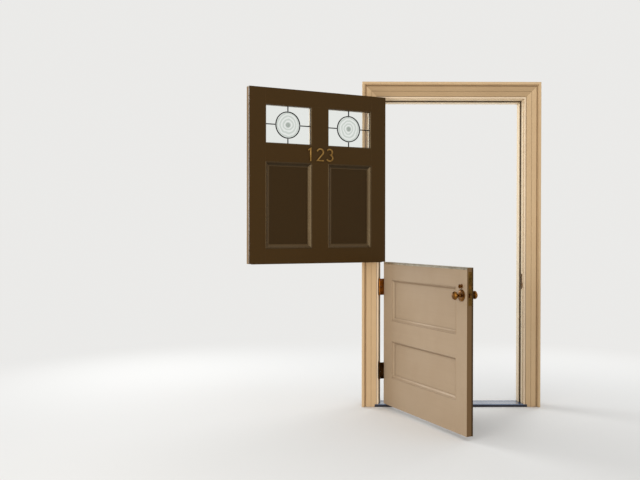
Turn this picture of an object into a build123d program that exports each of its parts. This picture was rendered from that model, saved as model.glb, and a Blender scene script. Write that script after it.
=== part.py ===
from build123d import *
import os

os.makedirs("parts", exist_ok=True)

# A Dutch door in its frame: two leaves, one above the other, hung on the same jamb.
# Millimetres. Z is up, +Y is outdoors, the room is on -Y, and the hinges are on -X.
# The origin is on the floor, at the middle of the opening, in the plane of the wall's room face.
# Both leaves are drawn shut and then swung open about the hinge pins.

# Leaves
LEAF_WIDTH = 1006.0
LEAF_THICKNESS = 44.5
LOWER_HEIGHT = 996.0
UPPER_HEIGHT = 1134.5
LOWER_OPEN_ANGLE = 66.0
UPPER_OPEN_ANGLE = 154.0

# Gaps round the leaves
SIDE_GAP = 3.0
TOP_GAP = 3.0
MEETING_GAP = 3.5
SILL_GAP = 8.0

# Stiles and rails, by the width that shows
STILE_WIDTH = 112.0
MUNTIN_WIDTH = 118.0
LOWER_BOTTOM_RAIL = 196.0
LOWER_LOCK_RAIL = 137.0
LOWER_TOP_RAIL = 118.0
LOWER_PANEL_HEIGHT = 258.0
UPPER_BOTTOM_RAIL = 97.0
UPPER_CROSS_RAIL = 116.0
UPPER_TOP_RAIL = 104.0
LIGHT_HEIGHT = 255.0

# Grooves that hold the panels and the stub tenons
GROOVE_WIDTH = 14.0
GROOVE_DEPTH = 14.0
TENON_PLAY = 0.5
PANEL_PLAY = 2.0

# Planted mouldings round the panels
UPPER_MOULDING_WIDTH = 30.0
LOWER_MOULDING_WIDTH = 24.0
MOULDING_PROUD = 1.5
MOULDING_BEAD = 5.6
MOULDING_QUIRK = 2.4
MOULDING_QUIRK_DEPTH = 4.6
MOULDING_FOOT = 3.0
MOULDING_FOOT_WIDTH = 4.4

# Leaded lights
GLASS_THICKNESS = 3.0
CAME_FLANGE = 1.2
CAME_WIDTH = 6.5
CAME_WEB = 1.6
CAME_PLAY = 0.4
BORDER_CAME_WIDTH = 12.0
LIGHT_EDGE_IN_GROOVE = 6.0
ROUNDEL_RING_DIAMETER = 177.0
ROUNDEL_RISE = 3.0
PONTIL_RADIUS = 9.0
PONTIL_HEIGHT = 3.5
BEAD_WIDTH = 7.0
BEAD_SETBACK = 2.0

# Metal cap on the lower leaf, and the seal under the upper one
CAP_THICKNESS = 1.2
CAP_LEG = 14.0
SEAL_WIDTH = 8.0
SEAL_FROM_OUTSIDE = 10.0
SEAL_END_GAP = 20.0

# Frame
JAMB_THICKNESS = 25.5
JAMB_DEPTH = 118.0
STOP_PROUD = 12.5
STOP_SEAL_WIDTH = 9.0
STOP_SEAL_THICKNESS = 4.2
SEAL_CLEARANCE = 0.3
FIXING_HOLE_RADIUS = 3.0
FIXING_SINK_RADIUS = 6.0
FIXING_ABOVE_FLOOR = 120.0
FIXING_BELOW_HEAD = 83.0
FIXING_SPACING_LOW = 440.0
FIXING_SPACING_HIGH = 520.0

# Threshold
SILL_THICKNESS = 18.0
SILL_NOSE = 20.0
SILL_NOSE_RADIUS = 10.0
SILL_HORN = 25.0
SILL_OUTSIDE = 32.0
SILL_FALL = 8.0
SILL_GROOVE_WIDTH = 6.0
SILL_GROOVE_DEPTH = 3.0
SILL_GROOVE_FROM_STOP = 34.0
TRIM_CLEARANCE = 0.3

# Room-side casing and its back band, by width across and thickness off the wall
REVEAL = 6.35
CASING_WIDTH = 94.0
CASING_THICKNESS = 17.0
CASING_BEAD = 12.0
CASING_BEAD_RISE = 3.0
CASING_QUIRK = 2.5
CASING_QUIRK_DEPTH = 5.0
CASING_LINE_AT = 49.0
CASING_LINE = 3.0
CASING_LINE_DEPTH = 2.0
CASING_COVE = 9.0
BAND_WIDTH = 22.0
BAND_THICKNESS = 30.0
BAND_ROUND = 3.5
BAND_COVE = 5.0

# Outside trim
BRICKMOULD_WIDTH = 50.0
BRICKMOULD_THICKNESS = 32.0
BRICKMOULD_STEP = 10.0
BRICKMOULD_ROUND = 12.0

# Butt hinges with a wide throw
HINGE_HEIGHT = 114.3
HINGE_PLATE = 3.2
HINGE_MORTISE_DEPTH = 37.0
HINGE_THROW = 32.0
HINGE_KNUCKLES = 5
KNUCKLE_RADIUS = 7.0
KNUCKLE_GAP = 0.3
KNUCKLE_CLEARANCE = 0.4
PIN_RADIUS = 3.5
PIN_CLEARANCE = 0.05
PIN_TIP_RADIUS = 5.0
PIN_TIP_HEIGHT = 5.0
HINGE_SCREW_RADIUS = 2.4
HINGE_SCREW_HEAD_RADIUS = 4.6
HINGE_SCREW_FROM_END = 12.0
HINGE_SCREW_COLUMNS = (9.0, 27.0)
HINGE_SCREW_STAGGER = 15.0

# Middles of the hinges, from the ends of each leaf
LOWER_HINGE_FROM_BOTTOM = 232.5
LOWER_HINGE_FROM_TOP = 174.5
UPPER_HINGE_FROM_BOTTOM = 164.5
UPPER_HINGE_FROM_TOP = 234.0

# Mortise lock
BACKSET = 56.0
KNOB_BELOW_TOP = 167.0
THUMB_TURN_ABOVE_KNOB = 54.0
FACEPLATE_WIDTH = 25.0
FACEPLATE_HEIGHT = 200.0
FACEPLATE_THICKNESS = 3.0
FACEPLATE_ABOVE_KNOB = 141.0
PLATE_SCREW_RADIUS = 2.0
PLATE_SCREW_HEAD_RADIUS = 3.6
FACEPLATE_SCREW_FROM_END = 9.0
CASE_THICKNESS = 16.0
CASE_DEPTH = 82.0
CASE_HEIGHT = 140.0
CASE_BELOW_KNOB = 33.0
CASE_WALL = 1.5
BOLT_THICKNESS = 12.0
BOLT_CLEARANCE = 0.4
LATCH_HEIGHT = 22.0
LATCH_THROW = 12.0
LATCH_LENGTH = 47.0
LATCH_FLAT = 2.0
DEAD_BOLT_HEIGHT = 24.0
DEAD_BOLT_THROW = 20.0
DEAD_BOLT_LENGTH = 40.0

# Knobs, roses, thumb turn and cylinder
SPINDLE_SIZE = 8.0
SPINDLE_HOLE = 6.0
SPINDLE_FIT = 0.05
SPINDLE_IN_KNOB = 22.0
ROSE_RADIUS = 36.0
ROSE_THICKNESS = 8.0
ROSE_EDGE = 3.0
ROSE_COLLAR_RADIUS = 14.0
NECK_RADIUS = 9.5
NECK_WAIST = 7.5
NECK_TOP_RADIUS = 11.5
NECK_CLEARANCE = 0.05
KNOB_RADIUS = 25.0
KNOB_PROJECTION = 62.0
KNOB_BODY_LENGTH = 32.0
SPINDLE_BORE_RADIUS = 11.0
THUMB_PLATE_RADIUS = 14.0
THUMB_PLATE_THICKNESS = 3.0
THUMB_SHANK_RADIUS = 5.0
THUMB_SHAFT_RADIUS = 3.0
THUMB_SHANK_LENGTH = 11.0
THUMB_PROJECTION = 22.0
THUMB_BLADE_DEPTH = 14.6
THUMB_WIDTH = 24.0
THUMB_THICKNESS = 5.0
CYLINDER_RADIUS = 11.0
CYLINDER_COLLAR_RADIUS = 14.5
CYLINDER_COLLAR = 10.0
CYLINDER_BEVEL = 2.5
KEYWAY_WIDTH = 2.5
KEYWAY_HEIGHT = 9.0
KEYWAY_DEPTH = 8.0

# Strike plate on the jamb
STRIKE_THICKNESS = 2.0
STRIKE_WIDTH = 32.0
STRIKE_FROM_EDGE = 6.0
STRIKE_MARGIN = 14.0
STRIKE_SCREW_FROM_END = 7.0
STRIKE_LIP_MARGIN = 4.0
STRIKE_PLAY = 1.0
STRIKE_POCKET_SPARE = 5.0

# Flush bolt that ties the two leaves together
FLUSH_PLATE_WIDTH = 22.0
FLUSH_PLATE_HEIGHT = 150.0
FLUSH_PLATE_THICKNESS = 2.5
FLUSH_SCREW_FROM_END = 7.0
FLUSH_FROM_LOCK_EDGE = 40.0
FLUSH_ABOVE_BOTTOM = 20.0
FLUSH_ROD_RADIUS = 4.5
FLUSH_ROD_DEPTH = 11.0
FLUSH_HOLE_CLEARANCE = 0.4
FLUSH_TRAVEL = 18.0
FLUSH_HOLE_SPARE = 2.0
FLUSH_POCKET_WIDTH = 16.0
FLUSH_POCKET_MARGIN = 8.0
FLUSH_POCKET_SPARE = 2.0
FLUSH_SLIDE_SIZE = 7.0
FLUSH_SLIDE_PROUD = 4.0
FLUSH_END_SETBACK = 0.5

# Places that follow from the sizes
HALF_LEAF = LEAF_WIDTH / 2
HALF_RABBET = HALF_LEAF + SIDE_GAP
HALF_STOP = HALF_RABBET - STOP_PROUD
HALF_FRAME = HALF_RABBET + JAMB_THICKNESS
RABBET_DEPTH = LEAF_THICKNESS + SEAL_CLEARANCE + STOP_SEAL_THICKNESS
MID = LEAF_THICKNESS / 2
GROOVE_LOW = MID - GROOVE_WIDTH / 2
GROOVE_HIGH = MID + GROOVE_WIDTH / 2
TENON = GROOVE_DEPTH - TENON_PLAY
LOWER_BOTTOM = SILL_THICKNESS + SILL_GAP
LOWER_TOP = LOWER_BOTTOM + LOWER_HEIGHT
UPPER_BOTTOM = LOWER_TOP + MEETING_GAP
UPPER_TOP = UPPER_BOTTOM + UPPER_HEIGHT
HEAD_RABBET = UPPER_TOP + TOP_GAP
HEAD_TOP = HEAD_RABBET + JAMB_THICKNESS
STILE_INNER = HALF_LEAF - STILE_WIDTH
PIN_X = -HALF_LEAF - SIDE_GAP / 2
PIN_Y = -HINGE_THROW
PIN_LINE = Axis((PIN_X, PIN_Y, 0), (0, 0, 1))
CASING_INNER = HALF_RABBET + REVEAL
CASING_HEAD = HEAD_RABBET + REVEAL
BRICKMOULD_INNER = HALF_STOP + REVEAL
BRICKMOULD_HEAD = HEAD_RABBET - STOP_PROUD + REVEAL
SPINDLE_X = HALF_LEAF - BACKSET
KNOB_HEIGHT = LOWER_TOP - KNOB_BELOW_TOP
THUMB_TURN_HEIGHT = KNOB_HEIGHT + THUMB_TURN_ABOVE_KNOB
LOWER_HINGE_HEIGHTS = (LOWER_BOTTOM + LOWER_HINGE_FROM_BOTTOM, LOWER_TOP - LOWER_HINGE_FROM_TOP)
UPPER_HINGE_HEIGHTS = (UPPER_BOTTOM + UPPER_HINGE_FROM_BOTTOM, UPPER_TOP - UPPER_HINGE_FROM_TOP)
FIXING_HEIGHTS = (
    FIXING_ABOVE_FLOOR,
    FIXING_ABOVE_FLOOR + FIXING_SPACING_LOW,
    HEAD_RABBET - FIXING_BELOW_HEAD - FIXING_SPACING_HIGH,
    HEAD_RABBET - FIXING_BELOW_HEAD,
)
CASE_LOW = KNOB_HEIGHT - CASE_BELOW_KNOB
CASE_FRONT = HALF_LEAF - FACEPLATE_THICKNESS
FACEPLATE_TOP = KNOB_HEIGHT + FACEPLATE_ABOVE_KNOB
FLUSH_X = HALF_LEAF - FLUSH_FROM_LOCK_EDGE

# Panel and light openings, as (left, right, bottom, top)
LOWER_PANEL_LOW = LOWER_BOTTOM + LOWER_BOTTOM_RAIL
LOWER_LOCK_RAIL_LOW = LOWER_PANEL_LOW + LOWER_PANEL_HEIGHT
LOWER_LOCK_RAIL_HIGH = LOWER_LOCK_RAIL_LOW + LOWER_LOCK_RAIL
LOWER_TOP_RAIL_LOW = LOWER_TOP - LOWER_TOP_RAIL
UPPER_PANEL_LOW = UPPER_BOTTOM + UPPER_BOTTOM_RAIL
LIGHT_TOP = UPPER_TOP - UPPER_TOP_RAIL
LIGHT_LOW = LIGHT_TOP - LIGHT_HEIGHT
UPPER_PANEL_TOP = LIGHT_LOW - UPPER_CROSS_RAIL
HALF_MUNTIN = MUNTIN_WIDTH / 2
LOWER_OPENINGS = {
    "bottom": (-STILE_INNER, STILE_INNER, LOWER_PANEL_LOW, LOWER_LOCK_RAIL_LOW),
    "top": (-STILE_INNER, STILE_INNER, LOWER_LOCK_RAIL_HIGH, LOWER_TOP_RAIL_LOW),
}
UPPER_OPENINGS = {
    "hinge_side": (-STILE_INNER, -HALF_MUNTIN, UPPER_PANEL_LOW, UPPER_PANEL_TOP),
    "lock_side": (HALF_MUNTIN, STILE_INNER, UPPER_PANEL_LOW, UPPER_PANEL_TOP),
}
LIGHT_OPENINGS = {
    "hinge_side": (-STILE_INNER, -HALF_MUNTIN, LIGHT_LOW, LIGHT_TOP),
    "lock_side": (HALF_MUNTIN, STILE_INNER, LIGHT_LOW, LIGHT_TOP),
}


def write(piece, name, open_angle=0.0):
    """Swing a piece open with its leaf, name it and write it."""
    placed = piece.rotate(PIN_LINE, -open_angle) if open_angle else piece
    placed.label = name
    export_step(placed, f"parts/{name}.step")


def block(low, high, mode=Mode.ADD):
    """A square-edged piece of board between two opposite corners."""
    size = [b - a for a, b in zip(low, high)]
    middle = [(a + b) / 2 for a, b in zip(low, high)]
    with Locations(tuple(middle)):
        Box(*size, mode=mode)


def run_of(outline, plane, length, width, start=0, end=0):
    """A straight run of moulding. Mitres grow with 1 and shrink with -1 away from the near edge."""
    before = width if start > 0 else 0
    after = width if end > 0 else 0
    with BuildPart() as run:
        with BuildSketch(plane.offset(-before)):
            add(outline)
        extrude(amount=before + length + after)
        if start:
            near = Plane(plane.origin, z_dir=plane.z_dir + plane.x_dir * start)
            split(bisect_by=near, keep=Keep.TOP)
        if end:
            far = Plane(plane.origin + plane.z_dir * length, z_dir=plane.x_dir * end - plane.z_dir)
            split(bisect_by=far, keep=Keep.TOP)
    return run.part


def frame_of_runs(outline, width, opening, depth, facing):
    """Four mitred runs inside a rectangular opening, their backs at a depth, facing -Y or +Y."""
    left, right, low, high = opening
    corners = [(left, low), (right, low), (right, high), (left, high)]
    if facing > 0:
        corners = [(right, low), (left, low), (left, high), (right, high)]
    runs = []
    for here, there in zip(corners, corners[1:] + corners[:1]):
        along = Vector(there[0] - here[0], 0, there[1] - here[1])
        inward = along.normalized().cross(Vector(0, facing, 0)) * -1
        plane = Plane((here[0], depth, here[1]), x_dir=inward, z_dir=along)
        runs.append(run_of(outline, plane, along.length, width, -1, -1))
    return runs


# Frame

def side_jamb(side):
    """A rabbeted jamb standing on the threshold, without its mortises."""
    with BuildPart() as jamb:
        with BuildSketch(Plane.XY.offset(SILL_THICKNESS)):
            with BuildLine():
                Polyline(
                    (side * HALF_RABBET, 0),
                    (side * HALF_FRAME, 0),
                    (side * HALF_FRAME, JAMB_DEPTH),
                    (side * HALF_STOP, JAMB_DEPTH),
                    (side * HALF_STOP, RABBET_DEPTH),
                    (side * HALF_RABBET, RABBET_DEPTH),
                    close=True,
                )
            make_face()
        extrude(amount=HEAD_TOP - SILL_THICKNESS)
        for height in FIXING_HEIGHTS:
            face = Plane((side * HALF_RABBET, MID, height), z_dir=(-side, 0, 0))
            with Locations(face):
                CounterSinkHole(FIXING_HOLE_RADIUS, FIXING_SINK_RADIUS)
    return jamb.part


with BuildPart() as jamb_hinge_side:
    add(side_jamb(-1))
    for height in LOWER_HINGE_HEIGHTS + UPPER_HINGE_HEIGHTS:
        block(
            (-HALF_RABBET - HINGE_PLATE, 0, height - HINGE_HEIGHT / 2),
            (-HALF_RABBET, HINGE_MORTISE_DEPTH, height + HINGE_HEIGHT / 2),
            mode=Mode.SUBTRACT,
        )

HALF_LATCH_HOLE = LATCH_HEIGHT / 2 + STRIKE_PLAY
HALF_DEAD_HOLE = DEAD_BOLT_HEIGHT / 2 + STRIKE_PLAY
HALF_STRIKE_HOLE_WIDTH = BOLT_THICKNESS / 2 + STRIKE_PLAY
STRIKE_LOW = KNOB_HEIGHT - HALF_LATCH_HOLE - STRIKE_MARGIN
STRIKE_HIGH = THUMB_TURN_HEIGHT + HALF_DEAD_HOLE + STRIKE_MARGIN
STRIKE_HOLES = ((KNOB_HEIGHT, HALF_LATCH_HOLE), (THUMB_TURN_HEIGHT, HALF_DEAD_HOLE))


def strike_body(mode=Mode.ADD):
    """The plate with its lip, which the jamb is cut for and the strike is made from."""
    lip = HALF_LATCH_HOLE + STRIKE_LIP_MARGIN
    block(
        (HALF_RABBET, STRIKE_FROM_EDGE, STRIKE_LOW),
        (HALF_RABBET + STRIKE_THICKNESS, STRIKE_FROM_EDGE + STRIKE_WIDTH, STRIKE_HIGH),
        mode=mode,
    )
    block(
        (HALF_RABBET, 0, KNOB_HEIGHT - lip),
        (HALF_RABBET + STRIKE_THICKNESS, STRIKE_FROM_EDGE, KNOB_HEIGHT + lip),
        mode=mode,
    )


def bolt_holes(depth):
    """The two holes that the latch and the dead bolt enter, cut from the rabbet outward."""
    for height, half in STRIKE_HOLES:
        block(
            (HALF_RABBET, MID - HALF_STRIKE_HOLE_WIDTH, height - half),
            (HALF_RABBET + depth, MID + HALF_STRIKE_HOLE_WIDTH, height + half),
            mode=Mode.SUBTRACT,
        )


with BuildPart() as jamb_strike_side:
    add(side_jamb(1))
    strike_body(mode=Mode.SUBTRACT)
    bolt_holes(DEAD_BOLT_THROW - SIDE_GAP + STRIKE_POCKET_SPARE)

with BuildPart() as strike_plate:
    strike_body()
    bolt_holes(STRIKE_THICKNESS)
    strike_face = Plane((HALF_RABBET, MID, 0), x_dir=(0, 0, 1), z_dir=(-1, 0, 0))
    strike_screws = (STRIKE_LOW + STRIKE_SCREW_FROM_END, STRIKE_HIGH - STRIKE_SCREW_FROM_END)
    with Locations(*[strike_face.location * Location((height, 0, 0)) for height in strike_screws]):
        CounterSinkHole(PLATE_SCREW_RADIUS, PLATE_SCREW_HEAD_RADIUS)

with BuildPart() as jamb_head:
    block((-HALF_RABBET, 0, HEAD_RABBET), (HALF_RABBET, RABBET_DEPTH, HEAD_TOP))
    block((-HALF_STOP, RABBET_DEPTH, HEAD_RABBET - STOP_PROUD), (HALF_STOP, JAMB_DEPTH, HEAD_TOP))

HORN_END = CASING_INNER + SILL_HORN

# The rounded nose in front of the wall, which runs on past the jambs as the horns
with BuildSketch() as nose_outline:
    with BuildLine():
        nose_start = (-SILL_NOSE, SILL_THICKNESS - SILL_NOSE_RADIUS)
        nose_end = (SILL_NOSE_RADIUS - SILL_NOSE, SILL_THICKNESS)
        Line((-SILL_NOSE, 0), nose_start)
        TangentArc(nose_start, nose_end, tangent=(0, 1))
        Polyline(nose_end, (0, SILL_THICKNESS), (0, 0), (-SILL_NOSE, 0))
    make_face()

with BuildPart() as threshold:
    sill_back = JAMB_DEPTH + SILL_OUTSIDE
    with BuildSketch(Plane.YZ.offset(-HALF_FRAME)):
        add(nose_outline.sketch)
        with BuildLine():
            Polyline(
                (0, 0),
                (0, SILL_THICKNESS),
                (JAMB_DEPTH, SILL_THICKNESS),
                (sill_back, SILL_THICKNESS - SILL_FALL),
                (sill_back, 0),
                close=True,
            )
        make_face()
    extrude(amount=2 * HALF_FRAME)
    for side in (-1, 1):
        ends = sorted((side * (BRICKMOULD_INNER - TRIM_CLEARANCE), side * HALF_FRAME))
        block((ends[0], JAMB_DEPTH, 0), (ends[1], sill_back, SILL_THICKNESS), mode=Mode.SUBTRACT)
    for plane in (Plane.YZ.offset(HALF_FRAME), Plane.YZ.offset(-HORN_END)):
        with BuildSketch(plane):
            add(nose_outline.sketch)
        extrude(amount=HORN_END - HALF_FRAME)
    groove = RABBET_DEPTH + SILL_GROOVE_FROM_STOP
    block(
        (-HALF_STOP, groove, SILL_THICKNESS - SILL_GROOVE_DEPTH),
        (HALF_STOP, groove + SILL_GROOVE_WIDTH, SILL_THICKNESS),
        mode=Mode.SUBTRACT,
    )

# The seal runs up one stop, across the head and down the other
with BuildPart() as weatherstrip:
    with BuildSketch(Plane.XZ.offset(-RABBET_DEPTH)):
        with Locations((0, (SILL_THICKNESS + HEAD_RABBET) / 2)):
            Rectangle(2 * HALF_RABBET, HEAD_RABBET - SILL_THICKNESS)
        with Locations((0, (SILL_THICKNESS + HEAD_RABBET - STOP_SEAL_WIDTH) / 2)):
            Rectangle(
                2 * (HALF_RABBET - STOP_SEAL_WIDTH),
                HEAD_RABBET - STOP_SEAL_WIDTH - SILL_THICKNESS,
                mode=Mode.SUBTRACT,
            )
    extrude(amount=STOP_SEAL_THICKNESS)

# Casing: a bead at the inner edge, a quirk, a flat with one cut line, and a cove at the outer edge
with BuildSketch() as casing_outline:
    with BuildLine():
        bead_spring = CASING_THICKNESS + CASING_BEAD_RISE - CASING_BEAD / 2
        bead_start = (0, bead_spring)
        bead_end = (CASING_BEAD, bead_spring)
        quirk_floor = CASING_THICKNESS - CASING_QUIRK_DEPTH
        quirk_end = CASING_BEAD + CASING_QUIRK
        line_floor = CASING_THICKNESS - CASING_LINE_DEPTH
        cove_start = (CASING_WIDTH - CASING_COVE, CASING_THICKNESS)
        cove_end = (CASING_WIDTH, CASING_THICKNESS - CASING_COVE)
        Line((0, 0), bead_start)
        RadiusArc(bead_start, bead_end, CASING_BEAD / 2)
        Polyline(
            bead_end,
            (CASING_BEAD, quirk_floor),
            (quirk_end, quirk_floor),
            (quirk_end, CASING_THICKNESS),
            (CASING_LINE_AT, CASING_THICKNESS),
            (CASING_LINE_AT, line_floor),
            (CASING_LINE_AT + CASING_LINE, line_floor),
            (CASING_LINE_AT + CASING_LINE, CASING_THICKNESS),
            cove_start,
        )
        RadiusArc(cove_start, cove_end, -CASING_COVE)
        Polyline(cove_end, (CASING_WIDTH, 0), (0, 0))
    make_face()

# Back band: a cove towards the casing and a rounded nose
with BuildSketch() as band_outline:
    with BuildLine():
        cove_low = (0, BAND_THICKNESS - 2 * BAND_ROUND - BAND_COVE)
        cove_high = (BAND_COVE, BAND_THICKNESS - 2 * BAND_ROUND)
        nose_near = (BAND_COVE, BAND_THICKNESS - BAND_ROUND)
        nose_left = (BAND_COVE + BAND_ROUND, BAND_THICKNESS)
        nose_right = (BAND_WIDTH - BAND_ROUND, BAND_THICKNESS)
        nose_far = (BAND_WIDTH, BAND_THICKNESS - BAND_ROUND)
        Line((0, 0), cove_low)
        RadiusArc(cove_low, cove_high, -BAND_COVE)
        Line(cove_high, nose_near)
        RadiusArc(nose_near, nose_left, BAND_ROUND)
        Line(nose_left, nose_right)
        RadiusArc(nose_right, nose_far, BAND_ROUND)
        Polyline(nose_far, (BAND_WIDTH, 0), (0, 0))
    make_face()

with BuildSketch() as brickmould_outline:
    with BuildLine():
        lip_top = BRICKMOULD_THICKNESS - BRICKMOULD_ROUND
        Line((0, 0), (0, lip_top))
        Line((0, lip_top), (BRICKMOULD_STEP, lip_top))
        RadiusArc(
            (BRICKMOULD_STEP, lip_top),
            (BRICKMOULD_STEP + BRICKMOULD_ROUND, BRICKMOULD_THICKNESS),
            BRICKMOULD_ROUND,
        )
        Polyline(
            (BRICKMOULD_STEP + BRICKMOULD_ROUND, BRICKMOULD_THICKNESS),
            (BRICKMOULD_WIDTH, BRICKMOULD_THICKNESS),
            (BRICKMOULD_WIDTH, 0),
            (0, 0),
        )
    make_face()


def trim_set(outline, width, inner, head, depth, facing):
    """Left leg, head and right leg of a trim round the opening, mitred at the top."""
    left = Plane((-inner, depth, 0), x_dir=(-1, 0, 0), z_dir=(0, 0, -facing))
    right = Plane((inner, depth, 0), x_dir=(1, 0, 0), z_dir=(0, 0, facing))
    across = Plane((facing * inner, depth, head), x_dir=(0, 0, 1), z_dir=(-facing, 0, 0))
    if facing < 0:
        right = right.offset(-head)
        legs = (run_of(outline, left, head, width, 0, 1), run_of(outline, right, head, width, 1, 0))
    else:
        left = left.offset(-head)
        legs = (run_of(outline, left, head, width, 1, 0), run_of(outline, right, head, width, 0, 1))
    return legs[0], run_of(outline, across, 2 * inner, width, 1, 1), legs[1]


casings = trim_set(casing_outline.sketch, CASING_WIDTH, CASING_INNER, CASING_HEAD, 0, -1)


def over_horn(leg, side):
    """A casing leg notched at its foot to stand on the threshold's horn."""
    ends = sorted((side * CASING_INNER, side * (HORN_END + TRIM_CLEARANCE)))
    with BuildPart() as notched:
        add(leg)
        block((ends[0], -BAND_THICKNESS, 0), (ends[1], 0, SILL_THICKNESS), mode=Mode.SUBTRACT)
    return notched.part


bands = trim_set(
    band_outline.sketch,
    BAND_WIDTH,
    CASING_INNER + CASING_WIDTH,
    CASING_HEAD + CASING_WIDTH,
    0,
    -1,
)
brickmoulds = trim_set(
    brickmould_outline.sketch,
    BRICKMOULD_WIDTH,
    BRICKMOULD_INNER,
    BRICKMOULD_HEAD,
    JAMB_DEPTH,
    1,
)

# Hinges

KNUCKLE_PITCH = HINGE_HEIGHT / HINGE_KNUCKLES

# Two screws by the pin side of the plate, and two nearer the middle by its far edge
SCREW_RISE = HINGE_HEIGHT / 2 - HINGE_SCREW_FROM_END
HINGE_SCREWS = (
    (HINGE_SCREW_COLUMNS[0], -SCREW_RISE),
    (HINGE_SCREW_COLUMNS[0], SCREW_RISE),
    (HINGE_SCREW_COLUMNS[1], HINGE_SCREW_STAGGER - SCREW_RISE),
    (HINGE_SCREW_COLUMNS[1], SCREW_RISE - HINGE_SCREW_STAGGER),
)


def hinge_leaf(height, side):
    """One leaf of a hinge: side -1 is let into the jamb, 1 into the door's edge."""
    near = PIN_X + side * SIDE_GAP / 2
    far = near + side * HINGE_PLATE
    own_parity = 0 if side < 0 else 1
    bore = PIN_RADIUS + (0 if side < 0 else PIN_CLEARANCE)
    with BuildPart() as leaf:
        block(
            (min(near, far), PIN_Y, height - HINGE_HEIGHT / 2),
            (max(near, far), HINGE_MORTISE_DEPTH, height + HINGE_HEIGHT / 2),
        )
        for number in range(HINGE_KNUCKLES):
            middle = height - HINGE_HEIGHT / 2 + (number + 0.5) * KNUCKLE_PITCH
            with Locations((PIN_X, PIN_Y, middle)):
                if number % 2 == own_parity:
                    Cylinder(KNUCKLE_RADIUS, KNUCKLE_PITCH - KNUCKLE_GAP)
                else:
                    gap = KNUCKLE_PITCH + KNUCKLE_GAP
                    Cylinder(KNUCKLE_RADIUS + KNUCKLE_CLEARANCE, gap, mode=Mode.SUBTRACT)
        with Locations((PIN_X, PIN_Y, height)):
            Cylinder(bore, HINGE_HEIGHT, mode=Mode.SUBTRACT)
        face = Plane((near, 0, height), x_dir=(0, 0, 1), z_dir=(-side, 0, 0))
        with Locations(*[face.location * Location((z, side * y, 0)) for y, z in HINGE_SCREWS]):
            CounterSinkHole(HINGE_SCREW_RADIUS, HINGE_SCREW_HEAD_RADIUS)
    return leaf.part


def hinge_pin(height):
    """A pin with a button tip at each end."""
    half = HINGE_HEIGHT / 2
    with BuildPart() as pin:
        with BuildSketch(Plane((PIN_X, PIN_Y, height), x_dir=(1, 0, 0), z_dir=(0, -1, 0))):
            with BuildLine():
                Polyline(
                    (0, -half),
                    (PIN_TIP_RADIUS, -half),
                    (PIN_TIP_RADIUS, -half - PIN_TIP_HEIGHT / 2),
                    (0, -half - PIN_TIP_HEIGHT),
                    close=True,
                )
            make_face()
            Rectangle(PIN_RADIUS, HINGE_HEIGHT, align=(Align.MIN, Align.CENTER))
            with BuildLine():
                Polyline(
                    (0, half),
                    (PIN_TIP_RADIUS, half),
                    (PIN_TIP_RADIUS, half + PIN_TIP_HEIGHT / 2),
                    (0, half + PIN_TIP_HEIGHT),
                    close=True,
                )
            make_face()
        revolve(axis=PIN_LINE)
    return pin.part


# Stiles, rails and panels

def stile(side, low, high):
    """An upright board with a groove ploughed along its inner edge."""
    outer, inner = side * HALF_LEAF, side * STILE_INNER
    floor = inner + side * GROOVE_DEPTH
    with BuildPart() as board:
        with BuildSketch(Plane.XY.offset(low)):
            with BuildLine():
                Polyline(
                    (outer, 0),
                    (outer, LEAF_THICKNESS),
                    (inner, LEAF_THICKNESS),
                    (inner, GROOVE_HIGH),
                    (floor, GROOVE_HIGH),
                    (floor, GROOVE_LOW),
                    (inner, GROOVE_LOW),
                    (inner, 0),
                    close=True,
                )
            make_face()
        extrude(amount=high - low)
    return board.part


def hinge_stile(low, high, hinge_heights):
    with BuildPart() as board:
        add(stile(-1, low, high))
        for height in hinge_heights:
            block(
                (-HALF_LEAF, 0, height - HINGE_HEIGHT / 2),
                (HINGE_PLATE - HALF_LEAF, HINGE_MORTISE_DEPTH, height + HINGE_HEIGHT / 2),
                mode=Mode.SUBTRACT,
            )
    return board.part


def rail(low, high, groove_below, groove_above):
    """A cross board between the stiles, with a stub tenon at each end and a groove for each panel."""
    with BuildPart() as board:
        block((-STILE_INNER, 0, low), (STILE_INNER, LEAF_THICKNESS, high))
        block((-STILE_INNER - TENON, GROOVE_LOW, low), (STILE_INNER + TENON, GROOVE_HIGH, high))
        end = STILE_INNER + TENON
        if groove_below:
            block((-end, GROOVE_LOW, low), (end, GROOVE_HIGH, low + GROOVE_DEPTH), mode=Mode.SUBTRACT)
        if groove_above:
            block((-end, GROOVE_LOW, high - GROOVE_DEPTH), (end, GROOVE_HIGH, high), mode=Mode.SUBTRACT)
    return board.part


def muntin(low, high):
    """A short upright between two rails, grooved on both edges and tenoned into the rails' grooves."""
    with BuildPart() as board:
        block((-HALF_MUNTIN, 0, low), (HALF_MUNTIN, LEAF_THICKNESS, high))
        block((-HALF_MUNTIN, GROOVE_LOW, low - TENON), (HALF_MUNTIN, GROOVE_HIGH, high + TENON))
        for edge in (-HALF_MUNTIN, HALF_MUNTIN - GROOVE_DEPTH):
            block(
                (edge, GROOVE_LOW, low - TENON),
                (edge + GROOVE_DEPTH, GROOVE_HIGH, high + TENON),
                mode=Mode.SUBTRACT,
            )
    return board.part


def panel(opening):
    """A flat panel whose edges stand in the grooves all round."""
    left, right, low, high = opening
    tongue = GROOVE_DEPTH - PANEL_PLAY
    with BuildPart() as board:
        block((left - tongue, GROOVE_LOW, low - tongue), (right + tongue, GROOVE_HIGH, high + tongue))
    return board.part


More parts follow.
